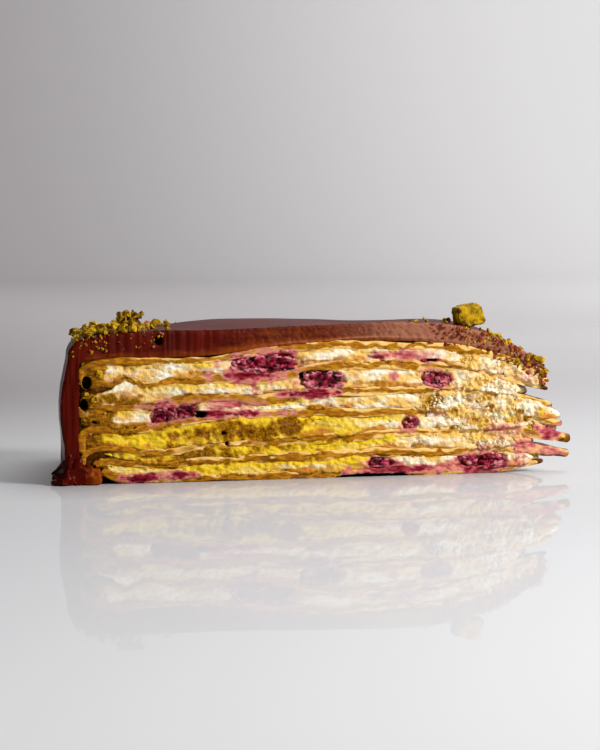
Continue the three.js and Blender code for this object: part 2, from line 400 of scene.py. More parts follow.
JUICE = (FRONT_JUICE, BACK_JUICE)
GOLD = (FRONT_GOLD, BACK_GOLD)
TORN = (FRONT_TORN, BACK_TORN)
HOLES = (FRONT_HOLES, BACK_HOLES)
BERRY_NODES = [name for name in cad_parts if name.startswith("berry_")]


def berry_seat(node):
    """Which cut a berry shows at, and its middle and half-sizes along and up that cut."""
    points = node_points(node)
    s, across = where(points)
    side = 0 if across.mean() < 0.5 else 1
    middle = ((s.min() + s.max()) / 2, (points[:, 2].min() + points[:, 2].max()) / 2)
    half = ((s.max() - s.min()) / 2, (points[:, 2].max() - points[:, 2].min()) / 2)
    return side, middle, half


BERRY_SEATS = {node: berry_seat(node) for node in BERRY_NODES}
BERRY_ROOM = 0.2  # mm of a berry's seat all round it
BERRY_SPOTS = [
    [
        (*middle, half[0] + BERRY_ROOM, half[1] + BERRY_ROOM, 1.0)
        for at, middle, half in BERRY_SEATS.values()
        if at == side
    ]
    for side in (0, 1)
]


def spread(spots, s, z, points, ragged=0.3, core=0.2):
    """How strongly spots with ragged edges cover points of a cut."""
    cover = np.zeros(s.shape)
    warp = ragged * (MEDIUM(points, 2.4) + 0.6 * FINE(points, 0.9))
    for at, height, half_length, half_height, strength in spots:
        away = np.hypot((s - at) / half_length, (z - height) / half_height) + warp
        cover = np.maximum(cover, strength * (1 - smoothstep(away, core, 1.3 - 0.2 * core)))
    return cover


def on_cuts(spots, s, z, across, points, reach=4.0, ragged=0.3, core=0.2):
    """Spots of the front cut and of the back cut, fading away into the cake."""
    front, back = spots
    inward = s * WEDGE * across
    outward = s * WEDGE * (1 - across)
    near = spread(front, s, z, points, ragged, core) * np.exp(-((inward / reach) ** 2))
    far = spread(back, s, z, points, ragged, core) * np.exp(-((outward / reach) ** 2))
    return np.maximum(near, far)


# ---------------------------------------------------------------- making meshes

EDGE_INSET = 0.45  # mm from a cut to the first points behind it
FRONT, TOP, BACK, BOTTOM = range(4)
CUT_NORMALS = {FRONT: (0, -1, 0), BACK: (math.sin(WEDGE), math.cos(WEDGE), 0)}


class Ring:
    """The points round a layer's section: up the front cut, over, down the back cut and under."""

    def __init__(self, face_cells, inside_cells):
        up = np.linspace(0, 1, face_cells + 1)
        over = np.linspace(0, 1, inside_cells)
        self.side = np.repeat([FRONT, TOP, BACK, BOTTOM], [len(up), len(over), len(up), len(over)])
        self.share = np.concatenate([0 * up, over, 0 * up + 1, over[::-1]])
        self.up = np.concatenate([up, 0 * over + 1, up[::-1], 0 * over])
        self.cut = (self.side == FRONT) | (self.side == BACK)

    def across(self, s):
        """The share of the wedge of each point, for rings at these distances."""
        inset = np.minimum(0.25, EDGE_INSET / (np.maximum(s, 0.3) * WEDGE))[:, None]
        inside = inset + (1 - 2 * inset) * self.share
        return np.where(self.cut, self.share, inside)

    def pushed(self, points, offset):
        """The points moved out of the cake along their cut."""
        out = points.copy()
        for side, normal in CUT_NORMALS.items():
            chosen = self.side == side
            out[:, chosen] += offset[:, chosen, None] * np.array(normal)
        return out


def stations(length, cell, rounding):
    """Distances along a layer, close together where its ends are rounded."""
    start = rounding * (1 - np.cos(np.linspace(0, math.pi / 2, 7)[:-1]))
    count = int((length - 2 * rounding) / cell)
    middle = np.linspace(rounding, length - rounding, count)
    end = length - start[::-1]
    return np.concatenate([start, middle, end])


def end_rounding(run, length, rounding):
    """How much of its thickness a layer has at each station."""
    near = np.clip(np.minimum(run, length - run) / rounding, 0, 1)
    return np.sqrt(1 - (1 - near) ** 2)


def new_piece(name, mesh, material):
    piece = bpy.data.objects.new(name, mesh)
    bpy.context.scene.collection.objects.link(piece)
    mesh.materials.clear()
    mesh.materials.append(material)
    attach(piece, "root")
    return piece


def write_mask(mesh, name, values):
    layer = mesh.attributes.new(name, "FLOAT", "POINT")
    layer.data.foreach_set("value", np.asarray(values, np.float32).ravel())


def mesh_of(name, points, faces, masks=None):
    """A smooth-shaded mesh from points in mm, with its masks as point attributes."""
    mesh = bpy.data.meshes.new(name)
    mesh.from_pydata((points.reshape(-1, 3) * MM).tolist(), [], faces.tolist())
    for mask, values in (masks or {}).items():
        write_mask(mesh, mask, np.broadcast_to(values, points.shape[:-1]))
    mesh.shade_smooth()
    return mesh


def tidy_mesh(mesh, closeness=0.02):
    """Merges points that lie together and turns the faces outward."""
    work = bmesh.new()
    work.from_mesh(mesh)
    bmesh.ops.remove_doubles(work, verts=work.verts, dist=closeness * MM)
    bmesh.ops.dissolve_degenerate(work, edges=work.edges, dist=1e-7)
    bmesh.ops.recalc_face_normals(work, faces=work.faces)
    work.to_mesh(mesh)
    work.free()
    mesh.shade_smooth()


def loft(name, points, masks):
    """A closed mesh through rings of points, drawn together at both ends."""
    rows, columns = points.shape[:2]
    index = np.arange(rows * columns).reshape(rows, columns)
    turned = np.roll(index, -1, axis=1)
    faces = np.stack([index[:-1], turned[:-1], turned[1:], index[1:]], axis=-1).reshape(-1, 4)
    mesh = mesh_of(name, points, faces, masks)
    tidy_mesh(mesh)
    return mesh


def lump(detail, size, square, rough, seed):
    """A rough rounded block's points and faces: square is 1 for an egg and lower for a block."""
    work = bmesh.new()
    bmesh.ops.create_icosphere(work, subdivisions=detail, radius=1.0)
    points = np.array([v.co for v in work.verts])
    faces = np.array([[v.index for v in f.verts] for f in work.faces])
    work.free()
    shift = np.random.default_rng(seed).uniform(0, 30, 3)
    boxed = np.sign(points) * np.abs(points) ** square
    moved = points + shift
    bumps = COARSE(moved, 0.9) + 0.5 * MEDIUM(moved, 0.42) + 0.25 * FINE(moved, 0.2)
    return boxed * (1 + rough * bumps)[:, None] * np.array(size) / 2, faces


def turned(rng, tilt=math.pi):
    """A random turn, as a 3 by 3 matrix."""
    angles = rng.uniform(-tilt, tilt, 3)
    angles[2] = rng.uniform(-math.pi, math.pi)
    matrix = Matrix.Rotation(angles[2], 3, "Z") @ Matrix.Rotation(angles[1], 3, "Y")
    return np.array(matrix @ Matrix.Rotation(angles[0], 3, "X"))


def joined(parts):
    """Points and faces of many parts as one."""
    points, faces, count = [], [], 0
    for part_points, part_faces in parts:
        points.append(part_points)
        faces.append(part_faces + count)
        count += len(part_points)
    return np.concatenate(points), np.concatenate(faces)


def fused(name, parts, voxel):
    """Overlapping lumps run together into one skin."""
    points, faces = joined(parts)
    mesh = mesh_of(name, points, faces)
    holder = bpy.data.objects.new(name, mesh)
    bpy.context.scene.collection.objects.link(holder)
    remesh = holder.modifiers.new("fuse", "REMESH")
    remesh.mode = "VOXEL"
    remesh.voxel_size = voxel * MM
    remesh.use_smooth_shade = True
    graph = bpy.context.evaluated_depsgraph_get()
    skin = bpy.data.meshes.new_from_object(holder.evaluated_get(graph))
    bpy.data.objects.remove(holder)
    bpy.data.meshes.remove(mesh)
    skin.name = name
    return skin


def write_points(mesh, points):
    mesh.vertices.foreach_set("co", (points * MM).ravel())
    mesh.update()


# ---------------------------------------------------------------- materials

# Sockets of the Mix node for colours, which share their names with its other kinds.
MIX_SHARE, MIX_UNDER, MIX_OVER, MIX_RESULT = 0, 6, 7, 2
GRAIN_ENDS = (0.3, 0.7)  # between which nearly all of a grain's values lie


def linear(colour):
    """The linear values of an sRGB colour, given as hex text or as a property's values."""
    if isinstance(colour, str):
        colour = [int(colour[i : i + 2], 16) / 255 for i in (1, 3, 5)]
    values = [c / 12.92 if c <= 0.04045 else ((c + 0.055) / 1.055) ** 2.4 for c in colour[:3]]
    return (*values, 1.0)


def add(tree, kind, inputs=None, ramp=None, **settings):
    """A new node with its settings, and its inputs set to values or linked to sockets."""
    node = tree.nodes.new(kind)
    for name, value in settings.items():
        setattr(node, name, value)
    if ramp:
        stops = node.color_ramp.elements
        while len(stops) < len(ramp):
            stops.new(0.5)
        for stop, (position, colour) in zip(stops, ramp):
            stop.position = position
            stop.color = colour
    for name, value in (inputs or {}).items():
        if isinstance(value, bpy.types.NodeSocket):
            tree.links.new(value, node.inputs[name])
        else:
            node.inputs[name].default_value = value
    return node


def new_material(name):
    material = bpy.data.materials.new(name)
    material.use_nodes = True
    tree = material.node_tree
    tree.nodes.clear()
    return material, tree


def grain(tree, size_mm, detail=3.0, stretch=(1, 1, 1)):
    """Noise whose grains measure about size_mm, drawn out along the axes."""
    spot = add(tree, "ShaderNodeTexCoord").outputs["Object"]
    drawn_out = {"Vector": spot, "Scale": [1 / side for side in stretch]}
    spot = add(tree, "ShaderNodeMapping", drawn_out).outputs["Vector"]
    inputs = {"Vector": spot, "Scale": 1 / (size_mm * MM), "Detail": detail}
    return add(tree, "ShaderNodeTexNoise", inputs).outputs["Fac"]


def laid_over(tree, colour, paint, source, begins, covers):
    """A colour with another laid over it, more and more from where a value begins to where it
    covers."""
    bounds = {"Value": source, "From Min": begins, "From Max": covers}
    share = add(tree, "ShaderNodeMapRange", bounds, interpolation_type="SMOOTHSTEP")
    mixed = {MIX_SHARE: share.outputs["Result"], MIX_UNDER: colour, MIX_OVER: linear(paint)}
    return add(tree, "ShaderNodeMix", mixed, data_type="RGBA").outputs[MIX_RESULT]


def coated(tree, pattern, tones, coats):
    """Two tones that pass into each other as a pattern rises, with thin coats laid over them in
    turn. The tones are two colours and the pattern's values where the first ends and the second
    begins. Each coat is its own colour, the point mask that places it, the mask's values where it
    begins and where it covers, and the grain that frays its edge and how far."""
    first, second, low, high = tones
    stops = ((low, linear(first)), (high, linear(second)))
    colour = add(tree, "ShaderNodeValToRGB", {"Fac": pattern}, ramp=stops).outputs["Color"]
    for paint, mask, begins, covers, fray, reach in coats:
        source = add(tree, "ShaderNodeAttribute", attribute_name=mask).outputs["Fac"]
        frayed = {0: fray, 1: reach, 2: source}
        source = add(tree, "ShaderNodeMath", frayed, operation="MULTIPLY_ADD").outputs["Value"]
        colour = laid_over(tree, colour, paint, source, begins + reach / 2, covers + reach / 2)
    return colour


def finish(tree, colour, wear, relief=None, relief_mm=0.1, kind="LINEAR", **constants):
    """The shader and the output, with fine relief from a pattern. The wear is what the roughness
    follows: a pattern, its values at both ends and the roughness there."""
    ends = dict(zip(("Value", "From Min", "From Max", "To Min", "To Max"), wear))
    roughness = add(tree, "ShaderNodeMapRange", ends, interpolation_type=kind).outputs["Result"]
    inputs = {"Base Color": colour, "Roughness": roughness}
    inputs.update({name.replace("_", " "): value for name, value in constants.items()})
    if relief is not None:
        bump = {"Height": relief, "Distance": relief_mm * MM, "Strength": 0.9}
        inputs["Normal"] = add(tree, "ShaderNodeBump", bump).outputs["Normal"]
    shader = add(tree, "ShaderNodeBsdfPrincipled", inputs)
    add(tree, "ShaderNodeOutputMaterial", {"Surface": shader.outputs["BSDF"]})


def juice_coats(looks, streaks):
    """Berry juice soaked into a layer: rose where it is thin and wine where it is thick."""
    return [
        (looks.juice_thin, "juice", 0.02, 0.5, streaks, 0.6),
        (looks.juice_rose, "juice", 0.15, 0.85, streaks, 1.3),
        (looks.juice_thick, "juice", 0.5, 1.05, streaks, 1.3),
    ]


def cream_material(looks):
    """Cream cheese filling, spread and cut: matt and soft, warm white to egg yellow, with crumb
    and juice dragged over it by the knife."""
    material, tree = new_material("spread_cream_cheese")
    patches = grain(tree, 2.4, 4.0, (2.4, 2.4, 1))
    streaks = grain(tree, 1.1, 4.0, (3.5, 3.5, 1))
    specks = grain(tree, 0.55, 3.0)
    tones = (looks.cream_light, looks.cream_shade, 0.41, 0.59)
    coats = [
        (looks.cream_yolk, "yellow", 0.1, 1.0, streaks, 1.0),
        # Painted shade on the lower part of each cream band, and a tint laid at random in the
        # blends.
        (looks.cream_peach_and_shade, "peach_tint_and_shade", 0.15, 1.05, streaks, 1.0),
        (looks.batter_light, "gold", 0.1, 0.8, streaks, 0.9),
        (looks.batter_gold, "gold", 0.45, 1.2, specks, 1.5),
        *juice_coats(looks, streaks),
        # Painted shade: dark brown laid over the cream's low spots and hair cracks.
        (looks.crevice_shade, "pit_shade", 0.25, 1.0, specks, 0.8),
        (looks.shadow, "hole", 0.1, 0.7, specks, 0.2),
    ]
    finish(
        tree,
        coated(tree, patches, tones, coats),
        (specks, *GRAIN_ENDS, 0.45, 0.7),
        specks,
        0.3,
        IOR=1.4,
        Specular_IOR_Level=0.07,
        Subsurface_Weight=0.2,
        Subsurface_Radius=(1.0, 0.65, 0.35),
        Subsurface_Scale=1.0 * MM,
    )
    return material


def crepe_material(looks):
    """Crepe, fried in butter: golden and slightly greasy, with a browner skin on both faces."""
    material, tree = new_material("fried_crepe")
    streaks = grain(tree, 0.6, 5.0, (3, 2.5, 1))
    lace = grain(tree, 2.2, 5.0, (2, 2, 1))
    specks = grain(tree, 0.5, 3.0)
    tones = (looks.crepe_light, looks.crepe_gold, 0.42, 0.6)
    coats = [
        (looks.crepe_brown, "skin", 0.2, 1.1, lace, 1.2),
        (looks.cream_shade, "smear", 0.25, 0.85, lace, 1.0),
        (looks.cream_light, "smear", 0.95, 1.4, streaks, 1.0),
        *juice_coats(looks, streaks),
        # Painted shade on the lower part of each crepe's cut band.
        (looks.crevice_shade, "under", 0.3, 1.0, streaks, 0.8),
        (looks.shadow, "hole", 0.1, 0.7, specks, 0.2),
    ]
    finish(
        tree,
        coated(tree, streaks, tones, coats),
        (lace, *GRAIN_ENDS, 0.35, 0.6),
        streaks,
        0.2,
        IOR=1.4,
        Specular_IOR_Level=0.07,
        Subsurface_Weight=0.1,
        Subsurface_Radius=(1.0, 0.5, 0.2),
        Subsurface_Scale=0.6 * MM,
    )
    return material


def ganache_material(looks):
    """Chocolate ganache, poured and set: glossy down its wall and foot, satin on its top, and dull
    where the knife dragged its cut face, which is paler towards the tip, partly as bloom and partly
    as a painted sheen."""
    material, tree = new_material("set_ganache")
    cloud = grain(tree, 7.0, 4.0)
    pores = grain(tree, 0.5, 3.0)
    smears = grain(tree, 1.2, 4.0, (4, 4, 1))
    tones = (looks.ganache_dark, looks.ganache_red, 0.3, 0.7)
    coats = [
        (looks.ganache_warm, "warm", 0.15, 0.95, smears, 0.7),
        # Partly bloom and partly painted sheen, most towards the tip.
        (looks.ganache_bloom_and_sheen, "bloom_and_sheen", 0.1, 1.0, pores, 0.5),
        (looks.shadow, "hole", 0.1, 0.8, pores, 0.2),
    ]
    colour = coated(tree, cloud, tones, coats)
    dull = add(tree, "ShaderNodeAttribute", attribute_name="dull").outputs["Fac"]
    wear = (dull, 0.0, 1.0, 0.24, 0.55)
    finish(tree, colour, wear, pores, 0.09, IOR=1.3, Specular_IOR_Level=0.15)
    return material


def berry_material(looks):
    """Berry flesh, crushed and wet: magenta to wine-dark and shiny, milky where it has taken up
    cream."""
    material, tree = new_material("crushed_berry_flesh")
    cloud = grain(tree, 1.0, 4.0, (1.8, 1.8, 1))
    fibres = grain(tree, 0.45, 3.0, (2.5, 2.5, 1))
    tones = (looks.berry_dark, looks.berry_red, 0.36, 0.64)
    coats = [
        (looks.berry_milky, "milky", 0.2, 0.9, fibres, 1.4),
        (looks.berry_dark, "ripe", 0.3, 0.9, cloud, 0.9),
        # Painted shade in the cracks between the torn lumps.
        (looks.berry_fold_shade, "fold_shade", 0.35, 1.1, cloud, 0.7),
    ]
    finish(
        tree,
        coated(tree, cloud, tones, coats),
        (fibres, *GRAIN_ENDS, 0.25, 0.5),
        fibres,
        0.25,
        IOR=1.38,
        Specular_IOR_Level=0.25,
        Subsurface_Weight=0.12,
        Subsurface_Radius=(1.0, 0.25, 0.3),
        Subsurface_Scale=0.6 * MM,
    )
    return material


def nut_material(looks):
    """Chopped pistachio kernel: yellow-green and dry, with scraps of its brown skin."""
    material, tree = new_material("chopped_pistachio")
    patches = grain(tree, 1.3, 4.0)
    gritty = grain(tree, 0.4, 3.0)
    tones = (looks.nut_yellow, looks.nut_green, 0.42, 0.66)
    skin = [(looks.nut_skin, "skin", 0.3, 0.8, patches, 2.4)]
    colour = coated(tree, patches, tones, skin)
    wear = (gritty, *GRAIN_ENDS, 0.6, 0.85)
    finish(tree, colour, wear, gritty, 0.3, IOR=1.46, Specular_IOR_Level=0.15)
    return material


def brittle_material(looks):
    """Crumbs of toasted nut skin: reddish brown with a sugary shine."""
    material, tree = new_material("toasted_nut_skin")
    patches = grain(tree, 0.9, 3.0)
    colour = coated(tree, patches, (looks.skin_dark, looks.skin_red, 0.35, 0.65), [])
    wear = (patches, *GRAIN_ENDS, 0.35, 0.6)
    finish(tree, colour, wear, patches, 0.2, IOR=1.5, Specular_IOR_Level=0.3)
    return material


# ---------------------------------------------------------------- settings


def colour_property(name, description, value):
    red, green, blue = (int(value[i : i + 2], 16) / 255 for i in (1, 3, 5))
    return bpy.props.FloatVectorProperty(
        name=name,
        description=description,
        subtype="COLOR_GAMMA",
        size=3,
        min=0.0,
        max=1.0,
        default=(red, green, blue),
    )


class CakeColours(bpy.types.PropertyGroup):
    """Colours of the cake, as sRGB values."""

    crepe_light: colour_property("Crepe, pale", "Soft inside of a crepe", "#c28418")
    crepe_gold: colour_property("Crepe, golden", "Fried batter", "#945604")
    crepe_brown: colour_property("Crepe, browned", "Browned skin of a crepe", "#451e00")
    cream_light: colour_property("Cream, light", "Lightest cream", "#fff3d8")
    # A warmer tone, mixed at random with the lightest cream in 2.4 mm patches.
    cream_shade: colour_property("Cream, warm", "Warmer cream", "#f2c46c")
    cream_yolk: colour_property("Cream, yolk", "Egg-yellow cream", "#f4cc28")
    # An orange tone: painted shade along the lower part of each cream band, and a tint laid at
    # random in the blends.
    cream_peach_and_shade: colour_property("Cream, buttered", "Cream stained by its crepe", "#c98026")
    batter_light: colour_property("Crumb, light", "Pale crepe crumb dragged over cream", "#b88206")
    batter_gold: colour_property("Crumb, golden", "Crepe batter dragged over cream", "#744202")
    # Painted shade: the dark brown of crevices. It is laid over the cream's low spots and cracks,
    # the lower part of each crepe's cut band and the low spots of the blends' crumb.
    crevice_shade: colour_property("Crevice", "Shaded crevices in the cream", "#5c2e02")
    shadow: colour_property("Hole", "The dark inside of a hole", "#1c0500")
    juice_thin: colour_property("Juice, thin", "Cream tinted by juice", "#e49a84")
    juice_rose: colour_property("Juice, rose", "Cream stained by juice", "#c0485a")
    juice_thick: colour_property("Juice, thick", "Cream or crepe soaked with juice", "#76081a")
    ganache_dark: colour_property("Ganache, dark", "Ganache at its darkest", "#470700")
    # Mixed at random with the dark ganache by a 7 mm cloud.
    ganache_red: colour_property("Ganache", "Ganache in the light", "#580d00")
    # An orange-brown laid over the middle of the cut face, along its lower edge, and on one lump of
    # the foot at the front.
    ganache_warm: colour_property("Ganache, warm", "Ganache thinly cut", "#8a3d08")
    # Pale grey-pink on the cut face, most towards the tip: partly the dull bloom of dragged ganache
    # and partly a painted sheen.
    ganache_bloom_and_sheen: colour_property("Ganache, dull", "Ganache dragged by the knife", "#9c634a")
    # Painted shade: near black laid in the cracks between the flesh's torn lumps.
    berry_fold_shade: colour_property("Berry, black", "Deep folds in the flesh", "#2a0208")
    berry_dark: colour_property("Berry, dark", "Dark berry flesh", "#6e0616")
    # Mixed at random with the dark flesh by a 1 mm cloud.
    berry_red: colour_property("Berry, red", "Berry flesh in the light", "#c8345a")
    berry_milky: colour_property("Berry, milky", "Berry flesh mixed with cream", "#e08c94")
    nut_yellow: colour_property("Nut, yellow", "Yellow nut flesh", "#cb9d0a")
    nut_green: colour_property("Nut, green", "Green nut flesh", "#80680c")
    nut_skin: colour_property("Nut skin", "Brown skin on the nut", "#543004")
    skin_dark: colour_property("Skin crumb, dark", "Dark crumb of nut skin", "#5a1a02")
    skin_red: colour_property("Skin crumb, red", "Red-brown crumb of nut skin", "#ac4806")


def size_property(name, description, value_mm):
    return bpy.props.FloatProperty(
        name=name,
        description=description,
        subtype="DISTANCE",
        unit="LENGTH",
        precision=5,
        min=0.0,
        default=value_mm * MM,
    )


class CakeSizes(bpy.types.PropertyGroup):
    """Sizes of the fine relief and of the crumbs."""

    crepe_edge: size_property("Crepe edge", "How far a crepe's edge stands out of the cut", 0.12)
    cream_relief: size_property("Cream relief", "Height of the waves on the cut cream", 0.34)
    torn_relief: size_property("Torn relief", "Height of the crumb where the cream is torn", 0.95)
    crumb_size: size_property("Crumb size", "Size of a usual nut crumb", 1.4)
    crumb_count: bpy.props.IntProperty(
        name="Crumbs",
        description="How many nut crumbs lie on the coat",
        min=0,
        default=620,
    )


# ---------------------------------------------------------------- crepes

CREPE_RUN_END = 118.5  # where a crepe's end starts to fold against the coat's wall
# Each crepe's fold at the rim, as the last three control points of a curve, from CREPE_RUN_END.
CREPE_FOLDS = [
    ((9.0, 0.4), (11.0, -5.0), (3.8, -3.0)),
    ((3.0, 0.2), (6.0, 1.2), (8.4, 0.2)),
    ((5.0, 1.2), (10.5, 1.4), (7.2, -1.8)),
    ((6.5, 0.8), (10.0, -0.4), (7.4, -5.2)),
    ((4.0, 0.6), (9.0, -0.2), (7.2, -3.4)),
    ((1.5, 0.2), (3.0, -0.4), (5.4, -0.8)),
]
FOLD_LENGTH = 9.0  # how much of a crepe is folded up there
BASE_END = 121.6  # where the lowest crepe ends
CREPE_CELL = 0.3
CREPE_ROUNDING = 0.9
CREPE_RING = (8, 10)  # cells up each cut, and points over the top
CREPE_BROWNING = [0.8, 0.5, 0.65, 0.6, 0.7, 0.9, 0.4]  # how brown each crepe's skin is


def holes(s, z, across, points):
    return on_cuts(HOLES, s, z, across, points, reach=6.0, ragged=0.22, core=0.6)


def cracks(points):
    """Hair-fine cracks that run along the layers, 1 in a crack and 0 beside it."""
    line = 1 - np.abs(COARSE(points, (11, 9, 1.7))) / 0.07
    return np.clip(line, 0, 1) * smoothstep(MEDIUM(points, (9, 9, 5)), 0.05, 0.4)


def crepe_piece(index, sizes, material):
    """One crepe: a thin sheet that follows its packed layer and folds up at the rim."""
    layer = crepe_layers[index]
    ring = Ring(*CREPE_RING)
    folds = index < len(CREPE_FOLDS)
    run_end = CREPE_RUN_END if folds else BASE_END
    fold_length = FOLD_LENGTH if folds else 0.0
    tip = layer.tip
    length = run_end - tip + fold_length
    run = stations(length, CREPE_CELL, CREPE_ROUNDING)
    across = ring.across(tip + run)
    edge = 0.25 * tip * (2 * across - 1) ** 2 + 0.9 * MEDIUM(place(40.0, across, 9.0 * index), 2.2)
    share = run[:, None] / (run_end - tip)
    s = lerp(tip + edge * (1 - smoothstep(share, 0, 0.2)), run_end, np.minimum(share, 1))
    z = crepe_middle(index, s, across)
    if folds:
        bend = np.clip((run[:, None] - (run_end - tip)) / fold_length, 0, 1)
        uneven = COARSE(place(90.0, across, 13.0 * index), (6, 7, 6))
        weights = (3 * bend * (1 - bend) ** 2, 3 * bend**2 * (1 - bend), bend**3)
        s = s + sum(w * p[0] for w, p in zip(weights, CREPE_FOLDS[index])) * (1 + 0.08 * uneven)
        z = z + sum(w * p[1] for w, p in zip(weights, CREPE_FOLDS[index])) * (1 + 0.35 * uneven)
        s = np.minimum(s, layer.rim + 0.4)
    along_s, along_z = np.gradient(s, axis=0), np.gradient(z, axis=0)
    steep = np.hypot(along_s, along_z) + 1e-9
    half = crepe_half(index, np.minimum(s, run_end), across)
    half = half * end_rounding(run, length, CREPE_ROUNDING)[:, None]
    level = 2 * ring.up - 1
    s = s - along_z / steep * half * level
    z = np.maximum(z + along_s / steep * half * level, 0.02)
    points = place(s, across, z)
    torn = on_cuts(TORN, s, z, across, points)
    hole = holes(s, z, across, points)
    bulge = 1 - np.sqrt(np.maximum(1 - 0.96 * level**2, 0))
    out = sizes.crepe_edge / MM * (1 + 1.6 * MEDIUM(points, (7, 7, 2.5)))
    out = out + 0.12 * FINE(points, (2.2, 1, 0.6)) - 0.4 * bulge * np.minimum(half, 0.9)
    out = out + torn * (0.45 * MEDIUM(points, 1.3) - 0.45) - hole - 0.3 * cracks(points)
    points = ring.pushed(points, out)
    wandering = level + 0.35 * COARSE(points, (8, 8, 2.2)) + 0.3 * MEDIUM(points, (2.4, 2, 1.1))
    near_edge = smoothstep(np.abs(wandering), 0.55, 1.15)
    patchy = smoothstep(COARSE(points + 31.0, (8, 6, 2.5)), -0.25, 0.5)
    smeared = (1 - crepe_share(index, s, z, across, points)) * (1 - smoothstep(s, 112, 118))
    browning = CREPE_BROWNING[index]
    cut_skin = np.maximum(browning * near_edge, 0.6 * browning * patchy) * (1 - 0.5 * torn)
    # Painted shade: the lower part of each crepe's cut band is darkened, as under its bulge.
    shaded = smoothstep(-wandering, 0.6, 1.2) * (0.35 + 0.65 * patchy) * (1 - 0.6 * torn)
    masks = {
        "juice": on_cuts(JUICE, s, z, across, points),
        "skin": np.where(ring.cut, cut_skin, 0.9),
        "smear": np.clip(1.15 * torn + smeared, 0, 1) * ring.cut,
        "under": np.where(ring.cut, shaded, 0),
        "hole": np.clip(hole, 0, 1),
    }
    mesh = loft(f"crepe_sheet_{index + 1}", points, masks)
    piece = new_piece(mesh.name, mesh, material)
    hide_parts(f"crepe_{index + 1}")


# ---------------------------------------------------------------- creams

CREAM_CELL = 0.28
CREAM_ROUNDING = 1.6
CREAM_RING = (17, 8)
SEAT_DEPTH = 1.7  # how far a cream sinks in behind a berry
CREAM_SINK = 0.12  # how far a cream reaches into the crepes over and under it
CREAM_RIMS = [127.0, 127.0, 127.0, 127.0, 126.4, 122.8]  # where each filling ends at the rim
CREAM_ENDS = [121.2, 123.2, 118.0, 123.6, 122.0, 121.0]  # where it turns to soaked crepe crumb
CREAM_YOLK = [0.1, 0.12, 0.2, 0.85, 0.95, 0.6]  # how yellow each cream is


